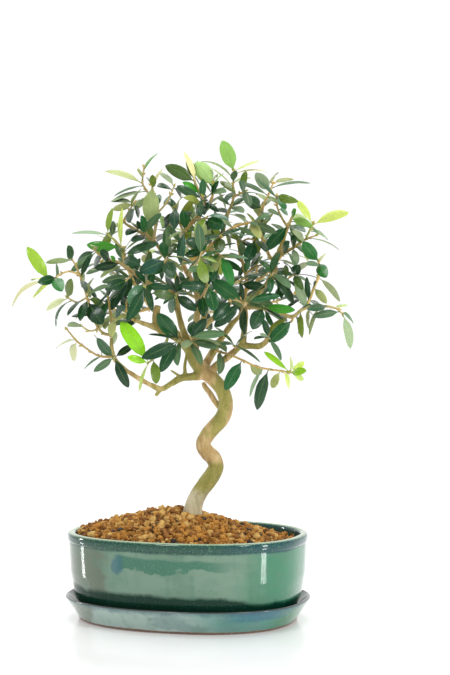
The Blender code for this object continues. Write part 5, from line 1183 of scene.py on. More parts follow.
def build_pot(glaze):
    """The oval pot with its rolled lip, feet and drain holes."""
    bottom = pot_bottom()
    lip = RIM_TOP - LIP_TALL
    floor = bottom + POT_FLOOR
    wall = [
        (0.0125, bottom), (0.0080, bottom + 0.0026), (0.0046, bottom + 0.0110),
        (LIP_PROUD + 0.0010, bottom + 0.0260), (LIP_PROUD, lip - 0.0012),
        (LIP_PROUD - 0.0001, lip - 0.0002),
    ]
    roll = [
        (0.0003, lip + 0.0003), (0.0, lip + 0.0018), (0.0, RIM_TOP - 0.0020),
        (0.0008, RIM_TOP - 0.0004), (0.0024, RIM_TOP), (WALL - 0.0018, RIM_TOP - 0.0001),
        (WALL - 0.0004, RIM_TOP - 0.0012),
    ]
    inside = [
        (WALL, RIM_TOP - 0.0040), (WALL, SOIL_EDGE - 0.0030), (0.0100, floor + 0.0070),
        (0.0150, floor),
    ]
    profile = rounded(wall + roll + inside, POT_EDGE)
    pot = loft("pot_body", [oval(RIM_HALF_X, RIM_HALF_Y, *spot) for spot in profile], glaze)
    hand_made(pot, POT_UNEVEN)
    tools = []
    for i in (-1, 1):
        for j in (-1, 1):
            rings = []
            for rise, share in FOOT_RINGS:
                half_x, half_y = FOOT_HALF[0] * share, FOOT_HALF[1] * share
                x, y = i * FOOT_SPREAD[0], j * FOOT_SPREAD[1]
                rings.append(ellipse(x, y, half_x, half_y, bottom - FOOT_TALL + rise))
            tools.append((loft("foot", rings, glaze), "UNION"))
        rings = [ellipse(i * DRAIN_SPREAD, 0.0, DRAIN_RADIUS, DRAIN_RADIUS, z) for z in DRAIN_CUT]
        tools.append((loft("drain", rings, glaze), "DIFFERENCE"))
    for tool, operation in tools:
        cut = pot.modifiers.new(tool.name, "BOOLEAN")
        cut.operation = operation
        cut.object = tool
        cut.solver = "EXACT"
    baked(pot)
    for tool, _ in tools:
        bpy.data.objects.remove(tool)
    piece(pot, "pot", 50)


def build_tray(glaze):
    """The shallow oval tray that catches the water."""
    flare, wall = TRAY_FLARE, TRAY_WALL
    profile = [
        (flare + 0.0030, 0.0003), (flare + 0.0016, 0.0), (flare - 0.0006, 0.0012),
        (flare - 0.0008, 0.0030), (flare * 0.42, 0.0105), (0.0003, TRAY_TALL - 0.0018),
        (0.0, TRAY_TALL - 0.0007), (0.0008, TRAY_TALL), (wall - 0.0008, TRAY_TALL),
        (wall, TRAY_TALL - 0.0010), (wall + flare * 0.42, 0.0112),
        (wall + flare + 0.0010, TRAY_FLOOR), (wall + flare + 0.0100, TRAY_FLOOR),
    ]
    rings = [oval(TRAY_HALF_X, TRAY_HALF_Y, *spot) for spot in rounded(profile, TRAY_EDGE)]
    tray = loft("tray_body", rings, glaze)
    hand_made(tray, TRAY_UNEVEN)
    piece(tray, "drip_tray", 50)


def soil_height(x, y):
    """The soil's height: a mound that falls to the pot's rim."""
    peak = RIGHT * SOIL_PEAK_AT[0] * MM + BACK * SOIL_PEAK_AT[1] * MM
    far = math.hypot((x - peak.x) / (RIM_HALF_X - WALL), (y - peak.y) / (RIM_HALF_Y - WALL))
    return SOIL_EDGE + (SOIL_PEAK - SOIL_EDGE) * max(0.0, 1.0 - far) ** SOIL_ROUND


def in_pot(x, y, clear):
    """Whether a place lies inside the pot's wall by this much."""
    reach = (abs(x) / (RIM_HALF_X - WALL - clear)) ** OVAL_POWER
    return reach + (abs(y) / (RIM_HALF_Y - WALL - clear)) ** OVAL_POWER < 1.0


def build_bed():
    """The fine soil that fills the pot up to just under the mound's face, in a darker brown that
    shows in the gaps between the granules as painted shade.
    """
    floor = pot_bottom() + POT_FLOOR + GAP
    rings = []
    for inset, rise in ((0.0150, 0.0), (0.0100, 0.0070)):
        rings.append(oval(RIM_HALF_X, RIM_HALF_Y, inset + GAP, floor + rise, BED_SIDES))
    for step in range(BED_RINGS):
        share = 1.0 - step / BED_RINGS
        ring = []
        for point in oval(RIM_HALF_X, RIM_HALF_Y, WALL + GAP, 0.0, BED_SIDES):
            x, y = point.x * share, point.y * share
            lump = noise.noise(Vector((x * BED_SCALE, y * BED_SCALE, 3.0))) * BED_LUMPS
            ring.append(Vector((x, y, soil_height(x, y) - BED_DEEP + lump)))
        rings.append(ring)
    # Painted shade: a darker brown than the granules, for the gaps between them
    clay = granule_clay("soil_bed", (70, 40, 20), (120, 74, 36), (150, 98, 52))
    piece(loft("soil_bed", rings, clay), "soil", 60)


def ball():
    """Points and faces of a round ball of radius 1."""
    shape = bmesh.new()
    bmesh.ops.create_icosphere(shape, subdivisions=2, radius=1.0)
    points = [v.co.copy() for v in shape.verts]
    faces = [tuple(v.index for v in face.verts) for face in shape.faces]
    shape.free()
    return points, faces


def granule(points, place, size, draw):
    """An uneven lump at a place, from the points of a ball."""
    centre = place + UP * draw.uniform(-GRANULE_SINK, GRANULE_SINK)
    turn = Matrix.Rotation(draw.uniform(0, math.tau), 3, Vector((draw.random(), draw.random(), 1)))
    squeeze = Vector([draw.uniform(*reach) for reach in GRANULE_SQUEEZE])
    seed = Vector([draw.uniform(0, 50) for _ in range(3)])
    lump = []
    for p in points:
        bulge = 1.0 + sum(share * noise.noise(p * fine + seed) for fine, share in GRANULE_BULGES)
        lump.append(centre + turn @ (p * squeeze) * (size * 0.5 * bulge))
    return lump


def build_soil():
    """A bed of fine soil under a few thousand granules, each an uneven lump of dry clay."""
    build_bed()
    draw = random.Random(SEED + 1)
    points, faces = ball()
    heaps = {name: Heap() for name in CLAYS}
    shares = [share for _, share in CLAYS.values()]
    for pitch, low, high, rise, chance in GRANULE_LAYERS:
        rows = int(RIM_HALF_Y / (pitch * GRANULE_ROW)) + 1
        columns = int(RIM_HALF_X / pitch) + 2
        stray = GRANULE_STRAY
        for row in range(-rows, rows + 1):
            for column in range(-columns, columns + 1):
                x = (column + 0.5 * (row % 2)) * pitch + draw.uniform(-stray, stray) * pitch
                y = row * pitch * GRANULE_ROW + draw.uniform(-stray, stray) * pitch
                size = draw.uniform(low, high)
                kind = draw.choices(list(CLAYS), shares)[0]
                if draw.random() > chance or not in_pot(x, y, size * 0.5 + GRANULE_CLEAR):
                    continue
                if math.hypot(x - LUMP_AT.x, y - LUMP_AT.y) < LUMP_REACH:
                    if kind == "ochre" and draw.random() < LUMP_AMBER:
                        kind = "amber"
                    size *= LUMP_GROWN
                if math.hypot(x - TRUNK_AT.x, y - TRUNK_AT.y) < TRUNK_ROOM + size * 0.5:
                    continue
                place = Vector((x, y, soil_height(x, y) + rise))
                heaps[kind].add(granule(points, place, size, draw), faces, WHITE)
    for name, heap in heaps.items():
        made = heap.build("granules_" + name, [granule_clay("clay_" + name, *CLAYS[name][0])])
        piece(made, "soil", 70)


def seen(right, up, behind):
    """The place of a point of the front view."""
    spread = (EYE_DISTANCE + behind * MM) / EYE_DISTANCE
    side = EYE_SIDE + (right * MM - EYE_SIDE) * spread
    height = EYE_HEIGHT + ((up + SKETCH_RISE) * MM - EYE_HEIGHT) * spread
    return RIGHT * side + BACK * behind * MM + UP * height


def placed(path):
    """The places of a path's points."""
    return [seen(*point[:3]) for point in path]


def spokes(across, over, sides):
    """Directions spread evenly round, from two that stand across each other."""
    turns = [math.tau * side / sides for side in range(sides)]
    return [across * math.cos(turn) + over * math.sin(turn) for turn in turns]


def closed(count, rings):
    """Faces between rings of points that follow one another, with both ends closed."""
    last = (rings - 1) * count
    caps = [tuple(range(count))[::-1], tuple(range(last, last + count))]
    return walls(count, rings) + caps


def tube(path, sides):
    """Points and faces of a closed round stem along a path of right, up, behind and radius."""
    places = placed(path)
    points = []
    across = None
    for index, (place, point) in enumerate(zip(places, path)):
        ahead = places[min(index + 1, len(places) - 1)] - places[max(index - 1, 0)]
        ahead.normalize()
        if across is None:
            across = ahead.orthogonal()
        across = (across - ahead * across.dot(ahead)).normalized()
        over = ahead.cross(across)
        points += [place + out * point[3] * MM for out in spokes(across, over, sides)]
    return points, closed(sides, len(path))


class Leaf:
    """One blade: where it springs, its tip, the way it looks, its width and its arch."""

    def __init__(self, root, tip, normal, width, arch, young):
        self.root, self.tip, self.width, self.arch, self.young = root, tip, width, arch, young
        self.along = (tip - root).normalized()
        self.normal = (normal - self.along * normal.dot(self.along)).normalized()
        self.across = self.along.cross(self.normal)
        self.length = (tip - root).length

    def rib(self, share):
        """The middle of the blade at a share of its length."""
        bow = 4.0 * share * (1.0 - share) * self.arch * self.length
        return self.root.lerp(self.tip, share) + self.normal * bow

    def down(self, share):
        """The way the lower face looks at a share of the length."""
        ahead = self.rib(min(1.0, share + RIB_STEP)) - self.rib(max(0.0, share - RIB_STEP))
        return self.across.cross(ahead.normalized()) * -1.0

    def blade(self, grown=0.0, start=0.0):
        """Points and faces of the plain blade; grown thickens it all round, for a test of room."""
        thick = BLADE_THICK / 2 + grown
        points = []
        for share, wide in YOUNG_STATIONS if self.young else BLADE_STATIONS:
            middle, down = self.rib(share), self.down(share)
            half = self.width / 2 * wide + grown
            for side, face in ((-1, 1), (1, 1), (1, -1), (-1, -1)):
                points.append(middle + self.across * side * half + down * face * thick)
        for end, share in ((self.rib(start), start), (self.tip + self.along * grown, 1.0)):
            points += [end + self.down(share) * thick, end - self.down(share) * thick]
        faces = [(1, 0, 8), (3, 2, 9), (2, 1, 8, 9), (0, 3, 9, 8)]
        for k in range(4):
            n = (k + 1) % 4
            faces.append((k, n, 4 + n, 4 + k))
        faces += [(4, 5, 10), (6, 7, 11), (5, 6, 11, 10), (7, 4, 10, 11)]
        return points, faces


def facing(root, tip, looks, width):
    """The way a blade that looks this wide faces: the narrower it looks, the more it faces up."""
    along = (tip - root).normalized()
    toward = EYE - root
    toward = (toward - along * toward.dot(along)).normalized()
    side = along.cross(toward)
    if side.z < 0:
        side = -side
    turn = math.acos(min(1.0, looks / width))
    return toward * math.cos(turn) + side * math.sin(turn)


def nearest_on(stems, right, up, along):
    """The place on the stems that is seen closest to a point, moved a little along the stem."""
    best = None
    for stem in stems:
        for a, b in zip(stem, stem[1:]):
            run = Vector((b[0] - a[0], b[1] - a[1]))
            size = run.length_squared
            share = 0.0 if size == 0 else (Vector((right - a[0], up - a[1])).dot(run)) / size
            share = min(ROOT_REACH[1], max(ROOT_REACH[0], share))
            point = [a[k] + (b[k] - a[k]) * share for k in range(3)]
            miss = math.hypot(point[0] - right, point[1] - up)
            if best is None or miss < best[0] - ROOT_NEARER:
                best = (miss, Vector(point), run.length, Vector(b[:3]) - Vector(a[:3]))
    return best[1] + best[3] * (along / max(best[2], 2.0))


def drawn_leaf(stems, entry, young, draw):
    """A leaf from its entry in the front view, its root set apart from its neighbours' roots."""
    root_right, root_up, tip_right, tip_up, looks = entry[:5]
    lean = entry[6] if len(entry) > 6 else LEAF_LEAN
    arch = entry[7] if len(entry) > 7 else LEAF_ARCH
    at = nearest_on(stems, root_right, root_up, draw.uniform(-ROOT_SPREAD, ROOT_SPREAD))
    shown = math.hypot(tip_right - at[0], tip_up - at[1])
    deep = math.sqrt(max(0.0, LEAF_LENGTH ** 2 - shown ** 2)) + LEAF_BACK * shown
    tip = seen(tip_right, tip_up, at[2] + lean * deep)
    root = seen(*at)
    root += (tip - root).normalized() * ROOT_OUT * MM
    width = max(looks * MM, LEAF_SLIMNESS * (tip - root).length)
    return Leaf(root, tip, facing(root, tip, looks * MM, width), width, arch, young)


def kept_across(way, normal, ahead):
    """The way a leaf faces, or another one where that would run along the leaf."""
    if abs(way.normalized().dot(normal.normalized())) > 0.9:
        return ahead * -1.0 + UP * 0.3
    return normal


def paired_leaves(stem, draw):
    """Leaves in opposite pairs along the outer part of a stem, each pair turned across the last."""
    places = placed(stem)
    total = sum((b - a).length for a, b in zip(places, places[1:]))
    leaves = []
    for pair in range(LEAF_PAIRS):
        share = (pair + draw.uniform(-PAIR_STRAY, PAIR_STRAY)) / (LEAF_PAIRS - 1)
        reach = min(total * (PAIR_FIRST + PAIR_RUN * share), total * PAIR_LAST)
        for a, b in zip(places, places[1:]):
            if reach <= (b - a).length:
                break
            reach -= (b - a).length
        ahead = (b - a).normalized()
        root = a + ahead * min(reach, (b - a).length * PAIR_LAST)
        flat = ahead.cross(UP)
        flat = flat.normalized() if flat.length > 0.1 else RIGHT.copy()
        turn = math.radians(90 * (pair % 2) + draw.uniform(-PAIR_TURN, PAIR_TURN))
        flat = Matrix.Rotation(turn, 3, ahead) @ flat
        for side in (-1, 1):
            out = flat * side
            spread = math.radians(draw.uniform(*PAIR_SPREAD))
            way = ahead * math.cos(spread) + out * math.sin(spread) - UP * PAIR_DROOP
            length = draw.uniform(*PAIR_LENGTH) * MM
            normal = kept_across(way, UP + ahead * -0.3 + out * -0.4, ahead)
            width = length * draw.uniform(*PAIR_WIDTH)
            tip = root + way.normalized() * length
            leaves.append(Leaf(root, tip, normal, width, PAIR_ARCH, False))
    return leaves


def measured(shape):
    """The least and greatest corner of a shape, and its tree of faces."""
    points, faces = shape
    low = [min(p[k] for p in points) for k in range(3)]
    high = [max(p[k] for p in points) for k in range(3)]
    return low, high, BVHTree.FromPolygons(points, faces)


class Room:
    """What stands already, to keep later stems and leaves clear of it."""

    def __init__(self):
        self.taken = []

    def add(self, owner, is_stem, shape):
        """Take the room of one closed shape."""
        self.taken.append((owner, is_stem, *measured(shape)))

    def meets(self, owner, shape):
        """What a shape meets: 0 nothing, 1 only leaves of its own branch, 2 another node."""
        low, high, tree = measured(shape)
        found = 0
        for other, is_stem, other_low, other_high, other_tree in self.taken:
            if any(low[k] > other_high[k] or high[k] < other_low[k] for k in range(3)):
                continue
            if other == owner and (is_stem or found):
                continue
            if tree.overlap(other_tree):
                if other != owner:
                    return 2
                found = 1
        return found


def closest(stems, point):
    """The place nearest to a point on the middle lines of some stems."""
    best = None
    for stem in stems:
        for a, b in zip(stem, stem[1:]):
            start, run = Vector(a[:3]), Vector(b[:3]) - Vector(a[:3])
            share = (Vector(point[:3]) - start).dot(run) / run.length_squared
            place = start + run * min(1.0, max(0.0, share))
            miss = (place - Vector(point[:3])).length
            if best is None or miss < best[0]:
                best = (miss, place)
    return best[1]


def joined_to(stems, stem):
    """The stem led back to the middle of the nearest of some stems, unless it starts there."""
    place = closest(stems, stem[0])
    if (place - Vector(stem[0][:3])).length < JOINED:
        return list(stem)
    return [(*place, stem[0][3])] + list(stem)


def trimmed(stem, cut):
    """The stem with a length cut off its start."""
    stem = list(stem)
    while len(stem) > 2:
        run = Vector(stem[1][:3]) - Vector(stem[0][:3])
        if run.length > cut + LEAST_RUN:
            break
        cut = max(0.0, cut - run.length)
        stem.pop(0)
    share = cut / (Vector(stem[1][:3]) - Vector(stem[0][:3])).length
    first = tuple(a + (b - a) * share for a, b in zip(stem[0], stem[1]))
    return [first] + stem[1:]


def budded(room, stems, stem):
    """A stem that starts just clear of the one that bears it."""
    path = joined_to(stems, stem)
    for step in range(BUDDED_TRIES):
        tried = trimmed(path[:3], step * BUDDED_STEP)
        thick = [(*point[:3], point[3] + CLEARANCE / MM) for point in tried]
        if not room.meets("bud", tube(thick, STEM_SIDES)):
            return tried + path[3:]
    return trimmed(path, BUDDED_LAST)


def moved(leaf, deeper, higher, shorter):
    """The leaf with its tip moved along the line of sight, up, and in."""
    away = (leaf.tip - EYE).normalized()
    tip = leaf.tip + away * deeper * MM + UP * higher * MM
    tip = leaf.root + (tip - leaf.root) * shorter
    width = leaf.width * (0.5 + 0.5 * shorter)
    return Leaf(leaf.root, tip, leaf.normal, width, leaf.arch, leaf.young)


# How a leaf may be moved to find room: deeper and higher in millimetres, and its length's share
TRIES = [(0, 0, 1.0)]
TRIES += [(deeper, 0, 1.0) for deeper in (-4, 4, -8, 8, -12, 12, -16, 16, -20, 20)]
TRIES += [(deeper, higher, 1.0) for deeper in (0, -8, 8, -16, 16) for higher in (-3, 3)]
TRIES += [(deeper, higher, 0.8) for deeper in (0, -10, 10) for higher in (0, -5, 5)]
TRIES += [(deeper, higher, 0.6) for deeper in (0, -8, 8) for higher in (0, -8, 8)]


def settled(room, owner, leaf):
    """The first try at a leaf that clears every other node, and its own branch's if it can."""
    second = None
    for deeper, higher, shorter in TRIES:
        tried = moved(leaf, deeper, higher, shorter)
        met = room.meets(owner, tried.blade(grown=CLEARANCE, start=NEEDS_FROM))
        if met == 0:
            return tried
        if met == 1 and second is None:
            second = tried
    return second


def grow():
    """The limbs, and the stems and leaves of every branch, each clear of the other nodes."""
    room = Room()
    limbs = [TRUNK]
    for path in LIMBS.values():
        limbs.append(joined_to(limbs, path))
    for path in limbs:
        room.add("trunk", True, tube(path, TRUNK_SIDES if path is TRUNK else LIMB_SIDES))
    stems = {}
    standing = list(limbs)
    for name, branch in BRANCHES.items():
        own = [budded(room, standing, branch.stems[0])]
        for stem in branch.stems[1:]:
            own.append(joined_to(own, stem))
        for stem in own:
            room.add(name, True, tube(stem, STEM_SIDES))
        stems[name] = own
        standing += own
    draw = random.Random(SEED)
    leaves = {}
    for name, branch in BRANCHES.items():
        wanted = [drawn_leaf(branch.stems, entry, branch.young, draw) for entry in branch.leaves]
        if not branch.leaves:
            wanted = [leaf for stem in branch.stems for leaf in paired_leaves(stem, draw)]
        leaves[name] = []
        for leaf in wanted:
            leaf = settled(room, name, leaf)
            if leaf is not None:
                room.add(name, False, leaf.blade(start=TAKES_FROM))
                leaves[name].append(leaf)
    return limbs, stems, leaves, room


def eased(path, steps):
    """A stem's points led along a smooth curve through them."""
    points = [Vector(p) for p in path]
    out = []
    for i in range(len(points) - 1):
        before = points[max(0, i - 1)]
        a, b = points[i], points[i + 1]
        after = points[min(len(points) - 1, i + 2)]
        for step in range(steps):
            t = step / steps
            out.append(tuple(
                0.5 * (
                    2 * a[k] + (b[k] - before[k]) * t
                    + (2 * before[k] - 5 * a[k] + 4 * b[k] - after[k]) * t * t
                    + (3 * a[k] - before[k] - 3 * b[k] + after[k]) * t ** 3
                )
                for k in range(4)
            ))
    return out + [tuple(path[-1])]


def build_trunk(limbs, surface):
    """Trunk and limbs fused in one skin, with collars at the forks and faint ridges."""
    heap = Heap()
    for path in limbs:
        sides = SKIN_TRUNK_SIDES if path is TRUNK else SKIN_LIMB_SIDES
        heap.add(*tube(eased(path, SKIN_STEPS), sides), WHITE)
    trunk = heap.build("trunk_skin", [surface])
    face_outward(trunk.data)
    grid = trunk.modifiers.new("grid", "REMESH")
    grid.mode = "VOXEL"
    grid.voxel_size = SKIN_GRID
    soft = trunk.modifiers.new("soft", "SMOOTH")
    soft.factor, soft.iterations = SKIN_SOFT
    baked(trunk)
    skin = [(vertex.co.copy(), vertex.normal.copy()) for vertex in trunk.data.vertices]
    for vertex, (place, out) in zip(trunk.data.vertices, skin):
        ridge = 0.0
        for fine, depth in SKIN_RIDGES:
            ridge += noise.noise(Vector([place[k] * fine[k] for k in range(3)])) * depth
        vertex.co = place + out * ridge
    piece(trunk, "trunk", 80)


class Colours:
    """Seeded shades round a named tone."""

    def __init__(self, seed):
        self.draw = random.Random(seed)

    def near(self, tone):
        """A colour a little lighter or darker and warmer or cooler than the tone."""
        light = 1.0 + self.draw.uniform(-TONE_SPREAD, TONE_SPREAD)
        warm = self.draw.uniform(-TONE_WARMTH, TONE_WARMTH)
        shades = (light * (1.0 + warm), light, light * (1.0 - warm))
        return tuple(min(255.0, c * shade) for c, shade in zip(tone, shades))


def stem_shape(path):
    """A stem with a smooth run, a swelling at each joint and a closed round end."""
    ringed = []
    for index, point in enumerate(eased(path, STEM_STEPS)):
        swell = STEM_SWELL if index % STEM_STEPS == 0 else 1.0
        ringed.append((*point[:3], max(STEM_LEAST, point[3] * swell * STEM_THIN)))
    last, before = Vector(ringed[-1][:3]), Vector(ringed[-2][:3])
    ahead = (last - before).normalized()
    end = ringed[-1][3]
    for step, share in STEM_END:
        ringed.append((*(last + ahead * end * step * STEM_ROUND), end * share))
    return tube(ringed, FINE_SIDES)


def bud(start, way, draw):
    """Points of one pointed bud."""
    length = draw.uniform(*BUD_LENGTH)
    across = way.orthogonal().normalized()
    over = way.normalized().cross(across)
    points = []
    for share, wide in BUD_ROWS:
        middle, half = start + way * length * share, length * BUD_SLIM * wide
        points += [middle + out * half for out in spokes(across, over, BUD_SIDES)]
    return points


def add_buds(heap, stem, tone, draw):
    """Small pointed buds in opposite pairs along a stem, and one at its tip."""
    faces = closed(BUD_SIDES, len(BUD_ROWS))
    places = placed(stem)
    for index in range(1, len(places)):
        ahead = (places[index] - places[index - 1]).normalized()
        turn = Matrix.Rotation(draw.uniform(0, math.tau), 3, ahead)
        out = turn @ ahead.orthogonal().normalized()
        ways = [ahead * BUD_SPREAD + out * BUD_SPREAD, ahead * BUD_SPREAD - out * BUD_SPREAD]
        if index == len(places) - 1:
            ways.append(ahead)
        for way in ways:
            heap.add(bud(places[index], way, draw), faces, tone)


def outline_at(share, young):
    """A blade's width at a share of its length: a narrow start and a blunt end."""
    skew = YOUNG_SKEW if young else OUTLINE_SKEW
    wide = 1.0 - abs(2.0 * share ** skew - 1.0) ** OUTLINE_FULL[0]
    return max(0.0, wide) ** OUTLINE_FULL[1] * min(1.0, share / OUTLINE_START) ** 0.5


def blade_faces():
    """Faces of the fine blade, and the kind of each: 1 on its lower side, 0 elsewhere."""
    columns, rows = BLADE_COLUMNS, len(BLADE_ROWS) - 1

    def number(row, column, under):
        below = columns if under and 0 < column < columns else 0
        return row * 2 * columns + below + column

    faces, kinds = [], []
    for row in range(rows):
        for column in range(columns):
            for under in (False, True):
                face = [number(row, column + k, under) for k in (0, 1)]
                face += [number(row + 1, column + k, under) for k in (1, 0)]
                faces.append(tuple(face[::-1] if under else face))
                kinds.append(int(under))
    for row, turn in ((0, -1), (rows, 1)):
        loop = [number(row, column, False) for column in range(columns + 1)]
        loop += [number(row, column, True) for column in range(columns - 1, 0, -1)]
        faces.append(tuple(loop[::turn]))
        kinds.append(0)
    return faces, kinds


FINE_FACES, FINE_KINDS = blade_faces()


def leaf_shape(leaf, draw):
    """Points of a fine blade with a stalk, a fold, rolled margins, a curl and a waved edge."""
    fold, roll, curl, wave = [draw.uniform(*reach) for reach in (FOLD, ROLL, CURL, WAVE)]
    phase = draw.uniform(0, math.tau)
    sway = draw.uniform(*SWAY)
    points, places = [], []
    stalk = BLADE_ROWS[1]
    columns = BLADE_COLUMNS
    for share in BLADE_ROWS:
        up = leaf.down(share) * -1.0
        middle = leaf.rib(share) + leaf.across * math.sin(share * math.pi) * sway * leaf.length
        middle = middle + up * curl * leaf.length * share * share
        blade = (share - stalk) / (1.0 - stalk)
        wide = outline_at(blade, leaf.young) if blade > 0 else 0.0
        half = max(leaf.width / 2 * wide, STALK_HALF if share < 0.5 else TIP_HALF)
        body = BLADE_THICK * (BLADE_BODY if share < 1.0 else TIP_BODY)
        if blade <= 0.0:
            body = STALK_HALF
        line = []
        for column in range(columns + 1):
            side = column / columns * 2.0 - 1.0
            rise = abs(side) * fold - side ** 4 * roll
            rise += wave * abs(side) * math.sin(share * WAVE_TURNS + phase + side)
            line.append(middle + leaf.across * side * half + up * rise * half)
        inner = range(1, columns)
        points += [line[k] + up * (body if k in inner else 0.0) for k in range(columns + 1)]
        points += [line[k] - up * body for k in inner]
        places += [(k / columns, share) for k in (*range(columns + 1), *inner)]
    return points, places


def add_leaf(heap, leaf, tone, colours, draw):
    """One leaf in its tone; an underside's tone goes on the face that the front view shows."""
    points, places = leaf_shape(leaf, draw)
    shown = colours.near(TONES[tone])
    to_eye = leaf.normal.dot(EYE - leaf.root)
    if tone in UNDERSIDES:
        upper, under = colours.near(TONES[draw.choice(INNER_TONES)]), shown
        turned = to_eye > 0
    else:
        upper, under = shown, colours.near(UNDER_COMMON)
        turned = to_eye < 0
        if leaf.young:
            under = colours.near(UNDER_YOUNG)
    kinds = [1 - kind for kind in FINE_KINDS] if turned else FINE_KINDS
    heap.add(points, FINE_FACES, upper, under, places, kinds)


def inner_tone(leaf, draw):
    """A tone for a leaf that no drawing names: darker inside, paler near the top, partly as painted
    light shining through the leaves.
    """
    return draw.choice(HIGH_TONES if leaf.root.z > HIGH_FROM else INNER_TONES)


def toned_leaves(name, leaves):
    """Each settled leaf of a branch with its tone."""
    tones = [entry[5] for entry in BRANCHES[name].leaves]
    draw = random.Random(name)
    tones += [inner_tone(leaf, draw) for leaf in leaves[len(tones):]]
    return list(zip(leaves, tones))


def extra_leaf(root, ahead, side, draw):
    """A small leaf to one side of a stem."""
    turn = Matrix.Rotation(draw.uniform(0, math.tau), 3, ahead)
    out = turn @ ahead.orthogonal().normalized() * side
    spread = math.radians(draw.uniform(*EXTRA_SPREAD))
    way = (ahead * math.cos(spread) + out * math.sin(spread)).normalized()
    length = draw.uniform(*EXTRA_LENGTH) * MM
    normal = UP + ahead * -0.3 - BACK * draw.uniform(0.0, EXTRA_FRONT)
    normal = kept_across(way, normal, ahead)
    width = length * draw.uniform(*EXTRA_WIDTH)
    return Leaf(root, root + way * length, normal, width, LEAF_ARCH, False)


def extra_leaves(room, draw):
    """Smaller leaves that fill the inside of the crown, in pairs along the drawn stems."""
    found = {name: [] for name in BRANCHES}
    for name, branch in BRANCHES.items():
        if branch.young:
            continue
        for stem in branch.stems:
            places = placed(stem)
            for a, b in zip(places, places[1:]):
                count = max(1, int((b - a).length / EXTRA_STEP))
                for k in range(count):
                    root = a.lerp(b, (k + draw.uniform(*EXTRA_STRAY)) / count)
                    for side in (-1, 1):
                        leaf = extra_leaf(root, (b - a).normalized(), side, draw)
                        if not in_crown(leaf.tip):
                            continue
                        needed = leaf.blade(grown=EXTRA_CLEAR, start=EXTRA_START)
                        if room.meets("extra", needed) == 0:
                            room.add(name, False, leaf.blade(start=EXTRA_START))
                            found[name].append((leaf, inner_tone(leaf, draw)))
    return found


def in_crown(place):
    """Whether a place stays inside the outline that the drawn leaves make."""
    right, up = place.dot(RIGHT) / MM, place.z / MM - SKETCH_RISE
    return any(((right - u) / a) ** 2 + ((up - w) / b) ** 2 < 1.0 for u, w, a, b in CROWN_OVALS)


def build_branches(stems, leaves, extra):
    """Every leafy branch: a piece of stems and a piece of leaves, both standing for its node."""
    twig = twig_bark()
    upper = leaf_face(
        "leaf_upper", "upper_tone", gloss=0.26, coat=0.25, vein_colour=(128, 160, 88),
        vein_share=0.34, depth=0.00018,
    )
    under = leaf_face(
        "leaf_under", "under_tone", gloss=0.52, coat=0.0, vein_colour=(190, 200, 136),
        vein_share=0.40, depth=0.00015,
    )
    colours = Colours(SEED + 5)
    for name, branch in BRANCHES.items():
        draw = random.Random(name + "shape")
        twigs, blades = Heap(), Heap()
        tones = SHOOT_TONES if branch.young else TWIG_TONES
        for stem in stems[name]:
            twigs.add(*stem_shape(stem), colours.near(draw.choice(tones)))
            add_buds(twigs, stem, colours.near(draw.choice(BUD_TONES)), draw)
        for leaf, tone in toned_leaves(name, leaves[name]) + extra[name]:
            add_leaf(blades, leaf, tone, colours, draw)
        made = twigs.build("stems_" + name, [twig])
        face_outward(made.data)
        piece(made, name, 70)
        made = blades.build("leaves_" + name, [upper, under])
        piece(made, name, 60)


def soft_box(name, place, aim, size, power):
    """One rectangular studio light."""
    lamp = bpy.data.lights.new(name, "AREA")
    lamp.shape = "RECTANGLE"
    lamp.size, lamp.size_y = size
    lamp.energy = power
    made = stand(name, lamp)
    made.location = place
    made.rotation_euler = (place - aim).to_track_quat("Z", "Y").to_euler()


def glint_place(right):
    """Where a low light stands whose image shows on the pot's front this far to the right."""
    ring = oval(RIM_HALF_X, RIM_HALF_Y, GLINT_INSET, 0.0)
    front = [k for k in range(len(ring)) if ring[k].dot(BACK) < 0]
    spot = min(front, key=lambda k: abs(ring[k].dot(RIGHT) - right))
    run = ring[(spot + 1) % len(ring)] - ring[spot - 1]
    out = run.cross(UP).normalized()
    toward = EYE - ring[spot]
    toward.z = 0.0
    toward.normalize()
    way = out * 2.0 * out.dot(toward) - toward
    return ring[spot] + way * GLINT_REACH + UP * GLINT_HEIGHT


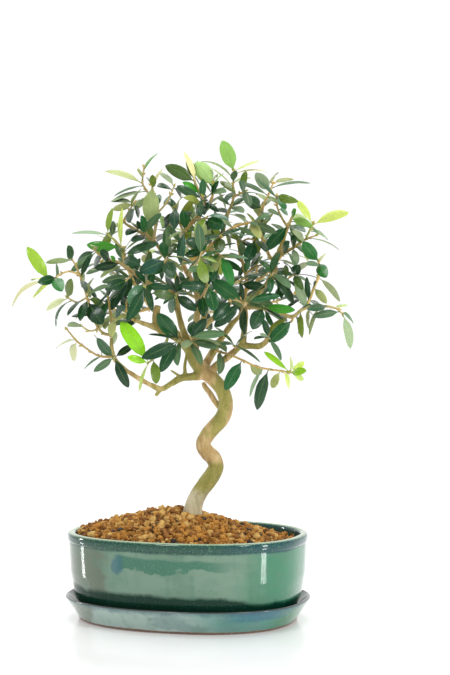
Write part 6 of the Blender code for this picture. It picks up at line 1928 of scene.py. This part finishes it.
def build_surround():
    """An even white surround, brighter behind the object than in front of it."""
    world = bpy.data.worlds.new("surround")
    bpy.context.scene.world = world
    world.use_nodes = True
    tree = world.node_tree
    place = tree.nodes.new("ShaderNodeTexCoord")
    behind = tree.nodes.new("ShaderNodeVectorMath")
    behind.operation = "DOT_PRODUCT"
    behind.inputs[1].default_value = BACK
    tree.links.new(place.outputs["Generated"], behind.inputs[0])
    strength = tree.nodes.new("ShaderNodeMapRange")
    strength.interpolation_type = "SMOOTHSTEP"
    for index, value in enumerate((*SURROUND_TURN, SURROUND_FRONT, SURROUND_BACK), 1):
        strength.inputs[index].default_value = value
    tree.links.new(behind.outputs["Value"], strength.inputs[0])
    ground = tree.nodes["Background"]
    ground.inputs["Color"].default_value = (1.0, 1.0, 1.0, 1.0)
    tree.links.new(strength.outputs[0], ground.inputs["Strength"])


def build_studio():
    """White floor, bright surround, soft boxes in front and above, and the camera."""
    corners = [(-1, -1), (1, -1), (1, 1), (-1, 1)]
    corners = [(x * FLOOR_HALF, y * FLOOR_HALF, 0) for x, y in corners]
    new_object("studio_floor", corners, [(0, 1, 2, 3)], [floor_white()])
    build_surround()
    soft_box("top_box", TOP_BOX_AT, MIDDLE, TOP_BOX_SIZE, TOP_POWER)
    for name, right, height in FRONT_BOXES:
        place = RIGHT * right - BACK * FRONT_BOX_NEAR + UP * height
        soft_box(name, place, MIDDLE, FRONT_BOX_SIZE, FRONT_BOX_POWER)
    for name, right, size, power in GLINTS:
        soft_box(name, glint_place(right), GLINT_AIM, size, power)
    camera = bpy.data.cameras.new("camera")
    camera.sensor_width = SENSOR_WIDTH
    camera.lens = LENS
    made = stand("camera", camera)
    made.location = EYE
    made.rotation_euler = (-BACK).to_track_quat("Z", "Y").to_euler()
    bpy.context.scene.camera = made
    bpy.context.scene.view_settings.view_transform = "Standard"


def main():
    """Make every finer piece and the studio."""
    plastic = screen_plastic()
    for node in ("drain_screen_left", "drain_screen_right"):
        mesh = bpy.data.objects[node].data
        mesh.materials.clear()
        mesh.materials.append(plastic)
    build_tray(tray_glaze())
    build_pot(pot_glaze())
    build_soil()
    limbs, stems, leaves, room = grow()
    build_trunk(limbs, bark())
    build_branches(stems, leaves, extra_leaves(room, random.Random(SEED + 9)))
    build_studio()


main()
